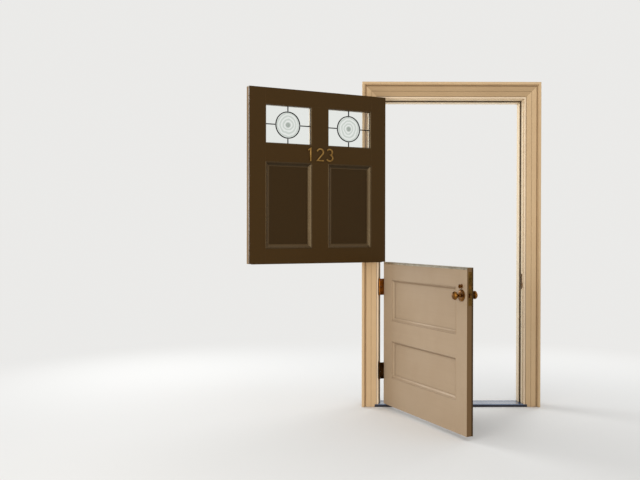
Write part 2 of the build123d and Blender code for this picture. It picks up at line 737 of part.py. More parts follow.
def moulding_outline(width):
    """A bead at the frame's edge, a quirk, a hollow down to the panel and a small foot."""
    height = GROOVE_LOW + MOULDING_PROUD
    bead_side = height - MOULDING_BEAD / 2
    quirk = (MOULDING_BEAD, height - MOULDING_QUIRK_DEPTH)
    hollow_top = (MOULDING_BEAD + MOULDING_QUIRK, height - MOULDING_QUIRK_DEPTH)
    hollow_end = (width - MOULDING_FOOT_WIDTH, MOULDING_FOOT)
    with BuildSketch() as outline:
        with BuildLine():
            Line((0, 0), (0, bead_side))
            RadiusArc((0, bead_side), (MOULDING_BEAD, bead_side), MOULDING_BEAD / 2)
            Polyline((MOULDING_BEAD, bead_side), quirk, hollow_top)
            RadiusArc(hollow_top, hollow_end, -width)
            Polyline(hollow_end, (width, MOULDING_FOOT), (width, 0), (0, 0))
        make_face()
    return outline.sketch


def mouldings(openings, width, facing):
    """The mouldings of one face of a leaf, four runs to an opening."""
    outline = moulding_outline(width)
    depth = GROOVE_LOW if facing < 0 else GROOVE_HIGH
    runs = []
    for opening in openings.values():
        runs += frame_of_runs(outline, width, opening, depth, facing)
    return Compound(children=runs)


# Lower leaf

with BuildPart() as lower_cap:
    with BuildSketch(Plane.YZ.offset(-HALF_LEAF)):
        with Locations((MID, LOWER_TOP - CAP_LEG / 2)):
            Rectangle(LEAF_THICKNESS, CAP_LEG)
        with Locations((MID, LOWER_TOP - (CAP_LEG + CAP_THICKNESS) / 2)):
            Rectangle(LEAF_THICKNESS - 2 * CAP_THICKNESS, CAP_LEG - CAP_THICKNESS, mode=Mode.SUBTRACT)
    extrude(amount=LEAF_WIDTH)

FLUSH_HOLE_RADIUS = FLUSH_ROD_RADIUS + FLUSH_HOLE_CLEARANCE
FLUSH_HOLE_DEPTH = FLUSH_TRAVEL - MEETING_GAP + FLUSH_HOLE_SPARE
with BuildPart() as flush_bolt_hole:
    with BuildSketch(Plane.XY.offset(LOWER_TOP - FLUSH_HOLE_DEPTH)):
        with Locations((FLUSH_X, FLUSH_ROD_DEPTH)):
            Circle(FLUSH_HOLE_RADIUS)
    extrude(amount=FLUSH_HOLE_DEPTH)

with BuildPart() as lower_hinge_stile:
    add(hinge_stile(LOWER_BOTTOM, LOWER_TOP, LOWER_HINGE_HEIGHTS))
    add(lower_cap.part, mode=Mode.SUBTRACT)

with BuildPart() as lower_top_rail:
    add(rail(LOWER_TOP_RAIL_LOW, LOWER_TOP, True, False))
    add(lower_cap.part, mode=Mode.SUBTRACT)

CASE_BACK = CASE_FRONT - CASE_DEPTH
CASE_NEAR = MID - CASE_THICKNESS / 2
CASE_FAR = MID + CASE_THICKNESS / 2


def face_bore(radius, height, near, far, mode=Mode.SUBTRACT):
    """A round hole or boss on the spindle's line, from one depth in the leaf to another."""
    with Locations(Location((SPINDLE_X, (near + far) / 2, height), (90, 0, 0))):
        Cylinder(radius, far - near, mode=mode)


with BuildPart() as lower_lock_stile:
    add(stile(1, LOWER_BOTTOM, LOWER_TOP))
    add(lower_cap.part, mode=Mode.SUBTRACT)
    add(flush_bolt_hole.part, mode=Mode.SUBTRACT)
    block(
        (CASE_FRONT, MID - FACEPLATE_WIDTH / 2, FACEPLATE_TOP - FACEPLATE_HEIGHT),
        (HALF_LEAF, MID + FACEPLATE_WIDTH / 2, FACEPLATE_TOP),
        mode=Mode.SUBTRACT,
    )
    block(
        (CASE_BACK, CASE_NEAR, CASE_LOW),
        (CASE_FRONT, CASE_FAR, CASE_LOW + CASE_HEIGHT),
        mode=Mode.SUBTRACT,
    )
    face_bore(SPINDLE_BORE_RADIUS, KNOB_HEIGHT, 0, LEAF_THICKNESS)
    face_bore(THUMB_SHANK_RADIUS + NECK_CLEARANCE, THUMB_TURN_HEIGHT, 0, CASE_NEAR)
    face_bore(CYLINDER_RADIUS, THUMB_TURN_HEIGHT, CASE_FAR, LEAF_THICKNESS)

with BuildPart() as lower_cap_with_hole:
    add(lower_cap.part)
    add(flush_bolt_hole.part, mode=Mode.SUBTRACT)

# Lock

with BuildPart() as lock_case:
    block((CASE_BACK, CASE_NEAR, CASE_LOW), (CASE_FRONT, CASE_FAR, CASE_LOW + CASE_HEIGHT))
    block(
        (CASE_BACK + CASE_WALL, CASE_NEAR + CASE_WALL, CASE_LOW + CASE_WALL),
        (CASE_FRONT, CASE_FAR - CASE_WALL, CASE_LOW + CASE_HEIGHT - CASE_WALL),
        mode=Mode.SUBTRACT,
    )
    face_bore(SPINDLE_HOLE, KNOB_HEIGHT, CASE_NEAR, CASE_FAR)
    face_bore(THUMB_SHAFT_RADIUS + BOLT_CLEARANCE, THUMB_TURN_HEIGHT, CASE_NEAR, MID)

BOLT_HOLES = ((KNOB_HEIGHT, LATCH_HEIGHT), (THUMB_TURN_HEIGHT, DEAD_BOLT_HEIGHT))
with BuildPart() as lock_faceplate:
    block(
        (CASE_FRONT, MID - FACEPLATE_WIDTH / 2, FACEPLATE_TOP - FACEPLATE_HEIGHT),
        (HALF_LEAF, MID + FACEPLATE_WIDTH / 2, FACEPLATE_TOP),
    )
    half_slot = BOLT_THICKNESS / 2 + BOLT_CLEARANCE
    for height, bolt_height in BOLT_HOLES:
        half_hole = bolt_height / 2 + BOLT_CLEARANCE
        block(
            (CASE_FRONT, MID - half_slot, height - half_hole),
            (HALF_LEAF, MID + half_slot, height + half_hole),
            mode=Mode.SUBTRACT,
        )
    lock_edge = Plane((HALF_LEAF, MID, FACEPLATE_TOP), x_dir=(0, 0, -1), z_dir=(1, 0, 0))
    faceplate_screws = (FACEPLATE_SCREW_FROM_END, FACEPLATE_HEIGHT - FACEPLATE_SCREW_FROM_END)
    with Locations(*[lock_edge.location * Location((drop, 0, 0)) for drop in faceplate_screws]):
        CounterSinkHole(PLATE_SCREW_RADIUS, PLATE_SCREW_HEAD_RADIUS)

# The latch stands out with its slope towards the outdoors, where it meets the jamb first
with BuildPart() as latch_bolt:
    latch_tip = HALF_LEAF + LATCH_THROW
    latch_near = MID - BOLT_THICKNESS / 2
    latch_far = MID + BOLT_THICKNESS / 2
    with BuildSketch(Plane.XY.offset(KNOB_HEIGHT - LATCH_HEIGHT / 2)):
        with BuildLine():
            Polyline(
                (latch_tip - LATCH_LENGTH, latch_near),
                (latch_tip, latch_near),
                (latch_tip, latch_near + LATCH_FLAT),
                (HALF_LEAF, latch_far),
                (latch_tip - LATCH_LENGTH, latch_far),
                close=True,
            )
        make_face()
    extrude(amount=LATCH_HEIGHT)

with BuildPart() as dead_bolt:
    block(
        (HALF_LEAF - DEAD_BOLT_LENGTH, MID - BOLT_THICKNESS / 2, THUMB_TURN_HEIGHT - DEAD_BOLT_HEIGHT / 2),
        (HALF_LEAF, MID + BOLT_THICKNESS / 2, THUMB_TURN_HEIGHT + DEAD_BOLT_HEIGHT / 2),
    )


def off_face(side, height):
    """A plane for turned pieces: X across the axis, Y out of the face. Side -1 is the room face."""
    face = 0 if side < 0 else LEAF_THICKNESS
    return Plane((SPINDLE_X, face, height), x_dir=(1, 0, 0), z_dir=(0, 0, side))


def turning_axis(height):
    return Axis((SPINDLE_X, 0, height), (0, 1, 0))


def rose(side):
    """A round rose with a domed face and a raised collar, bored for the knob's neck."""
    bore = NECK_RADIUS + NECK_CLEARANCE
    rim = (ROSE_RADIUS, ROSE_EDGE)
    collar_foot = (ROSE_COLLAR_RADIUS, ROSE_THICKNESS - ROSE_EDGE / 2)
    with BuildPart() as turned:
        with BuildSketch(off_face(side, KNOB_HEIGHT)):
            with BuildLine():
                Polyline((bore, 0), (ROSE_RADIUS, 0), rim)
                RadiusArc(rim, collar_foot, -ROSE_RADIUS)
                Polyline(
                    collar_foot,
                    (ROSE_COLLAR_RADIUS, ROSE_THICKNESS),
                    (bore, ROSE_THICKNESS),
                    (bore, 0),
                )
            make_face()
        revolve(axis=turning_axis(KNOB_HEIGHT))
    return turned.part


def knob(side):
    """A flattened ball on a waisted neck, with a square socket for the spindle."""
    ball_start = KNOB_PROJECTION - KNOB_BODY_LENGTH
    widest = KNOB_PROJECTION - KNOB_BODY_LENGTH / 2
    with BuildPart() as turned:
        with BuildSketch(off_face(side, KNOB_HEIGHT)):
            with BuildLine():
                Line((0, 0), (NECK_RADIUS, 0))
                Line((NECK_RADIUS, 0), (NECK_RADIUS, ROSE_THICKNESS))
                Spline(
                    (NECK_RADIUS, ROSE_THICKNESS),
                    (NECK_WAIST, (ROSE_THICKNESS + ball_start) / 2),
                    (NECK_TOP_RADIUS, ball_start),
                    tangents=((0, 1), (1, 1)),
                )
                Spline(
                    (NECK_TOP_RADIUS, ball_start),
                    (KNOB_RADIUS, widest),
                    (0, KNOB_PROJECTION),
                    tangents=((1, 1), (-1, 0)),
                )
                Line((0, KNOB_PROJECTION), (0, 0))
            make_face()
        revolve(axis=turning_axis(KNOB_HEIGHT))
        with BuildSketch(Plane((SPINDLE_X, MID, KNOB_HEIGHT), x_dir=(1, 0, 0), z_dir=(0, side, 0))):
            Rectangle(SPINDLE_SIZE + 2 * SPINDLE_FIT, SPINDLE_SIZE + 2 * SPINDLE_FIT)
        extrude(amount=MID + SPINDLE_IN_KNOB, mode=Mode.SUBTRACT)
    return turned.part


with BuildPart() as spindle:
    with BuildSketch(Plane((SPINDLE_X, -SPINDLE_IN_KNOB, KNOB_HEIGHT), x_dir=(1, 0, 0), z_dir=(0, 1, 0))):
        Rectangle(SPINDLE_SIZE, SPINDLE_SIZE)
    extrude(amount=LEAF_THICKNESS + 2 * SPINDLE_IN_KNOB)

with BuildPart() as thumb_plate:
    bore = THUMB_SHANK_RADIUS + NECK_CLEARANCE
    with BuildSketch(off_face(-1, THUMB_TURN_HEIGHT)):
        with BuildLine():
            Polyline(
                (bore, 0),
                (THUMB_PLATE_RADIUS, 0),
                (THUMB_PLATE_RADIUS, THUMB_PLATE_THICKNESS / 2),
                (THUMB_PLATE_RADIUS - THUMB_PLATE_THICKNESS, THUMB_PLATE_THICKNESS),
                (bore, THUMB_PLATE_THICKNESS),
                close=True,
            )
        make_face()
    revolve(axis=turning_axis(THUMB_TURN_HEIGHT))

with BuildPart() as thumb_turn:
    face_bore(THUMB_SHANK_RADIUS, THUMB_TURN_HEIGHT, -THUMB_SHANK_LENGTH, 0, mode=Mode.ADD)
    face_bore(THUMB_SHAFT_RADIUS, THUMB_TURN_HEIGHT, 0, MID, mode=Mode.ADD)
    blade_middle = (SPINDLE_X, THUMB_BLADE_DEPTH / 2 - THUMB_PROJECTION, THUMB_TURN_HEIGHT)
    with BuildSketch(Plane(blade_middle, x_dir=(0, 1, 0), z_dir=(1, 0, 0))):
        Ellipse(THUMB_BLADE_DEPTH / 2, THUMB_WIDTH / 2)
    extrude(amount=THUMB_THICKNESS / 2, both=True)

with BuildPart() as cylinder_outside:
    face_bore(CYLINDER_RADIUS, THUMB_TURN_HEIGHT, CASE_FAR, LEAF_THICKNESS, mode=Mode.ADD)
    collar_end = LEAF_THICKNESS + CYLINDER_COLLAR
    face_bore(CYLINDER_COLLAR_RADIUS, THUMB_TURN_HEIGHT, LEAF_THICKNESS, collar_end, mode=Mode.ADD)
    chamfer(faces().sort_by(Axis.Y)[-1].edges(), CYLINDER_BEVEL)
    block(
        (SPINDLE_X - KEYWAY_WIDTH / 2, collar_end - KEYWAY_DEPTH, THUMB_TURN_HEIGHT - KEYWAY_HEIGHT / 2),
        (SPINDLE_X + KEYWAY_WIDTH / 2, collar_end, THUMB_TURN_HEIGHT + KEYWAY_HEIGHT / 2),
        mode=Mode.SUBTRACT,
    )

# Flush bolt in the room face of the upper leaf

FLUSH_PLATE_LOW = UPPER_BOTTOM + FLUSH_ABOVE_BOTTOM
FLUSH_PLATE_HIGH = FLUSH_PLATE_LOW + FLUSH_PLATE_HEIGHT
FLUSH_POCKET_LOW = FLUSH_PLATE_LOW + FLUSH_POCKET_MARGIN
FLUSH_POCKET_HIGH = FLUSH_PLATE_HIGH - FLUSH_POCKET_MARGIN
FLUSH_SLIDE_REST = (FLUSH_POCKET_LOW + FLUSH_POCKET_HIGH + FLUSH_TRAVEL) / 2
FLUSH_POCKET_BACK = FLUSH_ROD_DEPTH + FLUSH_HOLE_RADIUS + FLUSH_POCKET_SPARE

with BuildPart() as upper_lock_stile:
    add(stile(1, UPPER_BOTTOM, UPPER_TOP))
    block(
        (FLUSH_X - FLUSH_PLATE_WIDTH / 2, 0, FLUSH_PLATE_LOW),
        (FLUSH_X + FLUSH_PLATE_WIDTH / 2, FLUSH_PLATE_THICKNESS, FLUSH_PLATE_HIGH),
        mode=Mode.SUBTRACT,
    )
    block(
        (FLUSH_X - FLUSH_POCKET_WIDTH / 2, FLUSH_PLATE_THICKNESS, FLUSH_POCKET_LOW),
        (FLUSH_X + FLUSH_POCKET_WIDTH / 2, FLUSH_POCKET_BACK, FLUSH_POCKET_HIGH),
        mode=Mode.SUBTRACT,
    )
    with BuildSketch(Plane.XY.offset(UPPER_BOTTOM)):
        with Locations((FLUSH_X, FLUSH_ROD_DEPTH)):
            Circle(FLUSH_HOLE_RADIUS)
    extrude(amount=FLUSH_POCKET_LOW - UPPER_BOTTOM, mode=Mode.SUBTRACT)

with BuildPart() as flush_bolt_plate:
    block(
        (FLUSH_X - FLUSH_PLATE_WIDTH / 2, 0, FLUSH_PLATE_LOW),
        (FLUSH_X + FLUSH_PLATE_WIDTH / 2, FLUSH_PLATE_THICKNESS, FLUSH_PLATE_HIGH),
    )
    slot_half_width = FLUSH_SLIDE_SIZE / 2 + FLUSH_HOLE_CLEARANCE
    block(
        (FLUSH_X - slot_half_width, 0, FLUSH_SLIDE_REST - FLUSH_TRAVEL - slot_half_width),
        (FLUSH_X + slot_half_width, FLUSH_PLATE_THICKNESS, FLUSH_SLIDE_REST + slot_half_width),
        mode=Mode.SUBTRACT,
    )
    plate_face = Plane((FLUSH_X, 0, FLUSH_PLATE_LOW), x_dir=(0, 0, 1), z_dir=(0, -1, 0))
    flush_screws = (FLUSH_SCREW_FROM_END, FLUSH_PLATE_HEIGHT - FLUSH_SCREW_FROM_END)
    with Locations(*[plate_face.location * Location((rise, 0, 0)) for rise in flush_screws]):
        CounterSinkHole(PLATE_SCREW_RADIUS, PLATE_SCREW_HEAD_RADIUS)

with BuildPart() as flush_bolt:
    rod_low = UPPER_BOTTOM + FLUSH_END_SETBACK
    with BuildSketch(Plane.XY.offset(rod_low)):
        with Locations((FLUSH_X, FLUSH_ROD_DEPTH)):
            Circle(FLUSH_ROD_RADIUS)
    extrude(amount=FLUSH_SLIDE_REST + FLUSH_SLIDE_SIZE - rod_low)
    block(
        (FLUSH_X - FLUSH_SLIDE_SIZE / 2, -FLUSH_SLIDE_PROUD, FLUSH_SLIDE_REST - FLUSH_SLIDE_SIZE / 2),
        (FLUSH_X + FLUSH_SLIDE_SIZE / 2, FLUSH_ROD_DEPTH, FLUSH_SLIDE_REST + FLUSH_SLIDE_SIZE / 2),
    )

with BuildPart() as meeting_seal:
    seal_far = LEAF_THICKNESS - SEAL_FROM_OUTSIDE
    block(
        (SEAL_END_GAP - HALF_LEAF, seal_far - SEAL_WIDTH, LOWER_TOP + SEAL_CLEARANCE),
        (HALF_LEAF - SEAL_END_GAP, seal_far, UPPER_BOTTOM),
    )

# Leaded lights

RING_RADIUS = (ROUNDEL_RING_DIAMETER - CAME_WIDTH) / 2
WEB_GAP = CAME_WEB / 2 + CAME_PLAY
HALF_GLASS = GLASS_THICKNESS / 2
HALF_CAME = HALF_GLASS + CAME_FLANGE


def light_frame(opening):
    """The middle of a light and half its size, edge in the groove included."""
    left, right, low, high = opening
    middle = ((left + right) / 2, (low + high) / 2)
    half_width = (right - left) / 2 + LIGHT_EDGE_IN_GROOVE
    half_height = (high - low) / 2 + LIGHT_EDGE_IN_GROOVE
    return middle, half_width, half_height


def came_sheet(middle, half_width, half_height, bar, border, ring_outer, ring_inner, near, far):
    """One layer of the lead net: a border, a ring and four bars from the ring to the border."""
    with BuildPart() as layer:
        with BuildSketch(Plane((middle[0], far, middle[1]), x_dir=(1, 0, 0), z_dir=(0, -1, 0))):
            Rectangle(2 * half_width, 2 * half_height)
            Rectangle(2 * (half_width - border), 2 * (half_height - border), mode=Mode.SUBTRACT)
            Rectangle(2 * half_width, bar)
            Rectangle(bar, 2 * half_height)
            Circle(ring_outer)
            Circle(ring_inner, mode=Mode.SUBTRACT)
        extrude(amount=far - near)
    return layer.part


def cames(opening):
    """The lead net of one light: two flanges with a web between them."""
    middle, half_width, half_height = light_frame(opening)
    size = (middle, half_width, half_height)
    flange = (CAME_WIDTH, BORDER_CAME_WIDTH, RING_RADIUS + CAME_WIDTH / 2, RING_RADIUS - CAME_WIDTH / 2)
    web = (CAME_WEB, CAME_WEB, RING_RADIUS + CAME_WEB / 2, RING_RADIUS - CAME_WEB / 2)
    with BuildPart() as net:
        add(came_sheet(*size, *flange, MID - HALF_CAME, MID - HALF_GLASS))
        add(came_sheet(*size, *web, MID - HALF_GLASS, MID + HALF_GLASS))
        add(came_sheet(*size, *flange, MID + HALF_GLASS, MID + HALF_CAME))
    return net.part


def quarry(opening, side, level):
    """One corner pane, cut round the roundel."""
    middle, half_width, half_height = light_frame(opening)
    edge = CAME_WEB + CAME_PLAY
    width = half_width - edge - WEB_GAP
    height = half_height - edge - WEB_GAP
    with BuildPart() as pane:
        with BuildSketch(Plane((middle[0], MID + HALF_GLASS, middle[1]), x_dir=(1, 0, 0), z_dir=(0, -1, 0))):
            with Locations((side * (WEB_GAP + width / 2), level * (WEB_GAP + height / 2))):
                Rectangle(width, height)
            Circle(RING_RADIUS + WEB_GAP, mode=Mode.SUBTRACT)
        extrude(amount=GLASS_THICKNESS)
    return pane.part


def roundel(opening):
    """A spun disc: flat at its edge, swelling towards a small boss where the pontil was."""
    middle = light_frame(opening)[0]
    edge = RING_RADIUS - WEB_GAP
    flat = RING_RADIUS - CAME_WIDTH / 2
    with BuildPart() as disc:
        with BuildSketch(Plane((middle[0], MID, middle[1]), x_dir=(1, 0, 0), z_dir=(0, 0, 1))):
            with BuildLine():
                swell = (PONTIL_RADIUS, HALF_GLASS + ROUNDEL_RISE)
                boss = (0, HALF_GLASS + ROUNDEL_RISE + PONTIL_HEIGHT)
                Polyline((0, -HALF_GLASS), (edge, -HALF_GLASS), (edge, HALF_GLASS), (flat, HALF_GLASS))
                Spline((flat, HALF_GLASS), swell, tangents=((-1, 0), (-1, 0)))
                Spline(swell, boss, tangents=((-1, 1), (-1, 0)))
                Line(boss, (0, -HALF_GLASS))
            make_face()
        revolve(axis=Axis((middle[0], MID, middle[1]), (0, 1, 0)))
    return disc.part


def leaded_glass(opening):
    panes = [quarry(opening, side, level) for side in (-1, 1) for level in (-1, 1)]
    return Compound(children=panes + [roundel(opening)])


# Glazing beads hold the light from both sides
BEAD_HEIGHT = MID - HALF_CAME - BEAD_SETBACK
with BuildSketch() as bead_outline:
    with BuildLine():
        Line((0, 0), (0, BEAD_HEIGHT))
        RadiusArc((0, BEAD_HEIGHT), (BEAD_WIDTH, BEAD_HEIGHT - BEAD_WIDTH), BEAD_WIDTH)
        Polyline((BEAD_WIDTH, BEAD_HEIGHT - BEAD_WIDTH), (BEAD_WIDTH, 0), (0, 0))
    make_face()


def glazing_beads():
    runs = []
    for opening in LIGHT_OPENINGS.values():
        runs += frame_of_runs(bead_outline.sketch, BEAD_WIDTH, opening, MID - HALF_CAME, -1)
        runs += frame_of_runs(bead_outline.sketch, BEAD_WIDTH, opening, MID + HALF_CAME, 1)
    return Compound(children=runs)


# Write the frame
write(jamb_hinge_side.part, "jamb_hinge_side")
write(jamb_strike_side.part, "jamb_strike_side")
write(jamb_head.part, "jamb_head")
write(threshold.part, "threshold")
write(over_horn(casings[0], -1), "casing_left")
write(casings[1], "casing_head")
write(over_horn(casings[2], 1), "casing_right")
write(Compound(children=list(bands)), "back_band")
write(Compound(children=list(brickmoulds)), "brickmould")
write(weatherstrip.part, "weatherstrip")
write(strike_plate.part, "strike_plate")
HINGE_NAMES = {
    "lower_bottom": LOWER_HINGE_HEIGHTS[0],
    "lower_top": LOWER_HINGE_HEIGHTS[1],
    "upper_bottom": UPPER_HINGE_HEIGHTS[0],
    "upper_top": UPPER_HINGE_HEIGHTS[1],
}
for hinge_name, height in HINGE_NAMES.items():
    open_angle = LOWER_OPEN_ANGLE if height in LOWER_HINGE_HEIGHTS else UPPER_OPEN_ANGLE
    write(hinge_leaf(height, -1), f"hinge_frame_leaf_{hinge_name}")
    write(hinge_leaf(height, 1), f"hinge_door_leaf_{hinge_name}", open_angle)
write(Compound(children=[hinge_pin(height) for height in HINGE_NAMES.values()]), "hinge_pins")

# Write the lower leaf
lower_pieces = {
    "lower_hinge_stile": lower_hinge_stile.part,
    "lower_lock_stile": lower_lock_stile.part,
    "lower_bottom_rail": rail(LOWER_BOTTOM, LOWER_PANEL_LOW, False, True),
    "lower_lock_rail": rail(LOWER_LOCK_RAIL_LOW, LOWER_LOCK_RAIL_HIGH, True, True),
    "lower_top_rail": lower_top_rail.part,
    "lower_panel_bottom": panel(LOWER_OPENINGS["bottom"]),
    "lower_panel_top": panel(LOWER_OPENINGS["top"]),
    "lower_mouldings_inside": mouldings(LOWER_OPENINGS, LOWER_MOULDING_WIDTH, -1),
    "lower_mouldings_outside": mouldings(LOWER_OPENINGS, LOWER_MOULDING_WIDTH, 1),
    "lower_cap": lower_cap_with_hole.part,
    "lock_case": lock_case.part,
    "lock_faceplate": lock_faceplate.part,
    "latch_bolt": latch_bolt.part,
    "dead_bolt": dead_bolt.part,
    "rose_inside": rose(-1),
    "rose_outside": rose(1),
    "knob_inside": knob(-1),
    "knob_outside": knob(1),
    "spindle": spindle.part,
    "thumb_plate": thumb_plate.part,
    "thumb_turn": thumb_turn.part,
    "cylinder_outside": cylinder_outside.part,
}
for piece_name, piece in lower_pieces.items():
    write(piece, piece_name, LOWER_OPEN_ANGLE)

# Write the upper leaf
muntins = [muntin(UPPER_PANEL_LOW, UPPER_PANEL_TOP), muntin(LIGHT_LOW, LIGHT_TOP)]
upper_pieces = {
    "upper_hinge_stile": hinge_stile(UPPER_BOTTOM, UPPER_TOP, UPPER_HINGE_HEIGHTS),
    "upper_lock_stile": upper_lock_stile.part,
    "upper_bottom_rail": rail(UPPER_BOTTOM, UPPER_PANEL_LOW, False, True),
    "upper_cross_rail": rail(UPPER_PANEL_TOP, LIGHT_LOW, True, True),
    "upper_top_rail": rail(LIGHT_TOP, UPPER_TOP, True, False),
    "upper_muntins": Compound(children=muntins),
    "upper_panel_hinge_side": panel(UPPER_OPENINGS["hinge_side"]),
    "upper_panel_lock_side": panel(UPPER_OPENINGS["lock_side"]),
    "upper_mouldings_inside": mouldings(UPPER_OPENINGS, UPPER_MOULDING_WIDTH, -1),
    "upper_mouldings_outside": mouldings(UPPER_OPENINGS, UPPER_MOULDING_WIDTH, 1),
    "glass_hinge_side": leaded_glass(LIGHT_OPENINGS["hinge_side"]),
    "glass_lock_side": leaded_glass(LIGHT_OPENINGS["lock_side"]),
    "cames_hinge_side": cames(LIGHT_OPENINGS["hinge_side"]),
    "cames_lock_side": cames(LIGHT_OPENINGS["lock_side"]),
    "glazing_beads": glazing_beads(),
    "flush_bolt_plate": flush_bolt_plate.part,
    "flush_bolt": flush_bolt.part,
    "meeting_seal": meeting_seal.part,
}
for piece_name, piece in upper_pieces.items():
    write(piece, piece_name, UPPER_OPEN_ANGLE)
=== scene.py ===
# %% [markdown]
# A stable door dressed for its picture
# This is a Dutch door: two leaves that swing on their own in one frame.
# The CAD model gives every rigid piece its true shape and place, so nothing here is fitted by eye.
# The work left for Blender is what CAD can't say: paint, brass, lead, glass, and the smallest fixings.
# The model is loaded first.

# %% Load the imported door
import math

import bmesh
import bpy
from mathutils import Matrix, Vector


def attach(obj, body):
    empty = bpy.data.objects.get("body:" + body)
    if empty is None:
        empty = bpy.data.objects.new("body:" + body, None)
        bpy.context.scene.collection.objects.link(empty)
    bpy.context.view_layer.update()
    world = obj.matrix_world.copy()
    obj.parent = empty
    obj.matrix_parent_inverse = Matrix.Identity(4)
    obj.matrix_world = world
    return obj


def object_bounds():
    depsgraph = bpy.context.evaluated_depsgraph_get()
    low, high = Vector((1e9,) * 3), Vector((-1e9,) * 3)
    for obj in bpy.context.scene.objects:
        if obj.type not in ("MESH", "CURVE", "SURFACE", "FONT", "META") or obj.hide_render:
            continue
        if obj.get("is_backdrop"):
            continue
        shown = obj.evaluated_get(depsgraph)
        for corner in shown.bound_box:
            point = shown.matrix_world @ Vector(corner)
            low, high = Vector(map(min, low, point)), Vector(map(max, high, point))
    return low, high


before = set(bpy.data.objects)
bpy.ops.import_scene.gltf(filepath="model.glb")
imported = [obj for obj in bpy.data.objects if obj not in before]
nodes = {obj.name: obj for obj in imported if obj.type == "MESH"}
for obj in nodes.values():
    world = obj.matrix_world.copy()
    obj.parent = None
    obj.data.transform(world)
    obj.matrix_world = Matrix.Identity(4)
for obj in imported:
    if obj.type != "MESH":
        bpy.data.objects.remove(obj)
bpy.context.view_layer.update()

# %% [markdown]
# Two ways of saying where a thing is
# The door stands as in the photograph, with both leaves open, but a leaf is easiest to think about shut.
# So pieces of a leaf are drawn on the shut door and then swung by the leaf's own angle about the hinge pin.
# The same turn, made backwards, tells a finish which face of the leaf it is on.

# %% The swing of each leaf
MM = 0.001
PIN = Vector((-504.5 * MM, -32 * MM, 0))
SWING = {"lower_leaf": math.radians(66), "upper_leaf": math.radians(154)}
LEAF_THICK = 44.5 * MM
CARRIED_BY = {"knobs": "lower_leaf", "thumb_turn_body": "lower_leaf"}


def swung(body):
    """Takes a point of the shut door to where the open leaf has it. The frame doesn't move."""
    body = CARRIED_BY.get(body, body)
    if body not in SWING:
        return Matrix.Identity(4)
    return Matrix.Translation(PIN) @ Matrix.Rotation(-SWING[body], 4, "Z") @ Matrix.Translation(-PIN)


def shut_box(node, body):
    """The lowest and highest corner of a CAD node, measured on the shut door."""
    back = swung(body).inverted()
    spots = [back @ v.co for v in nodes[node].data.vertices]
    low = Vector([min(p[k] for p in spots) for k in range(3)])
    high = Vector([max(p[k] for p in spots) for k in range(3)])
    return low, high


for name in ("cames_hinge_side", "cames_lock_side", "upper_cross_rail"):
    low, high = shut_box(name, "upper_leaf")
    print(name, "shut, in mm:", [round(v / MM, 1) for v in low], [round(v / MM, 1) for v in high])

# %% [markdown]
# The camera
# The photograph was taken from indoors, a little to the left of the door, with the lens almost level.
# A camera can be placed by hand until the picture looks right, or worked out from corners with known places.
# The second way was used here: jambs, leaf corners and sill gave these numbers to within a pixel.

# %% Place the camera
CAMERA_PLACE = Vector((-0.951, -5.545, 1.225))
CAMERA_TURN = {"Z": -0.283, "X": -0.519, "Y": -0.065}
FOCAL_PIXELS = 786.43
PHOTO_WIDTH = 640
SENSOR = 36.0

lens = bpy.data.cameras.new("photo_camera")
camera = bpy.data.objects.new("photo_camera", lens)
bpy.context.scene.collection.objects.link(camera)
lens.sensor_fit = "HORIZONTAL"
lens.sensor_width = SENSOR
lens.lens = FOCAL_PIXELS / PHOTO_WIDTH * SENSOR
turn = Matrix.Identity(3)
for axis, degrees in CAMERA_TURN.items():
    turn = turn @ Matrix.Rotation(math.radians(degrees), 3, axis)
right, forward, up = turn.col[0], turn.col[1], turn.col[2]
facing = Matrix((right, up, -forward)).transposed().to_4x4()
camera.matrix_world = Matrix.Translation(CAMERA_PLACE) @ facing
bpy.context.scene.camera = camera
print("lens", round(lens.lens, 2), "mm, looking", [round(v, 3) for v in forward])

# %% [markdown]
# Light and floor
# Coloured surroundings would tint everything, and then no paint could be judged.
# A pale floor, a pale sky all round and five large soft lamps show each colour about as it is written.
# In the photograph light comes from the left and from behind the door, so most of the lamps stand there too.
# Far from the door the floor fades into the sky, so no horizon cuts across the picture.

# %% Helpers for nodes
def feed(tree, node, inputs):
    """Gives each named input of a node a link or a plain value."""
    for key, value in inputs.items():
        if isinstance(value, bpy.types.NodeSocket):
            tree.links.new(value, node.inputs[key])
        else:
            node.inputs[key].default_value = value


def add(tree, kind, settings=None, inputs=None):
    """Adds a node, sets its properties and feeds its inputs."""
    node = tree.nodes.new(kind)
    for key, value in (settings or {}).items():
        setattr(node, key, value)
    feed(tree, node, inputs or {})
    return node


def maths(tree, operation, first, second=0.0, clamp=False):
    """The result of one sum on numbers or sockets."""
    settings = {"operation": operation, "use_clamp": clamp}
    return add(tree, "ShaderNodeMath", settings, {0: first, 1: second}).outputs[0]


def vectors(tree, operation, first, second=None):
    """The result of one sum on vectors or vector sockets."""
    inputs = {0: first} if second is None else {0: first, 1: second}
    node = add(tree, "ShaderNodeVectorMath", {"operation": operation}, inputs)
    return node.outputs["Value" if operation in ("LENGTH", "DOT_PRODUCT") else "Vector"]


def blend_colour(tree, share, first, second, mode="MIX"):
    """Mixes two colours, or two colour sockets, by a share."""
    settings = {"data_type": "RGBA", "blend_type": mode}
    return add(tree, "ShaderNodeMix", settings, {0: share, 6: first, 7: second}).outputs[2]


def ramp(tree, value, start, end, low=0.0, high=1.0):
    """Carries a value from start..end to low..high, smoothly and without running over."""
    node = add(tree, "ShaderNodeMapRange", {"interpolation_type": "SMOOTHSTEP"},
               {0: value, 1: start, 2: end, 3: low, 4: high})
    return node.outputs[0]


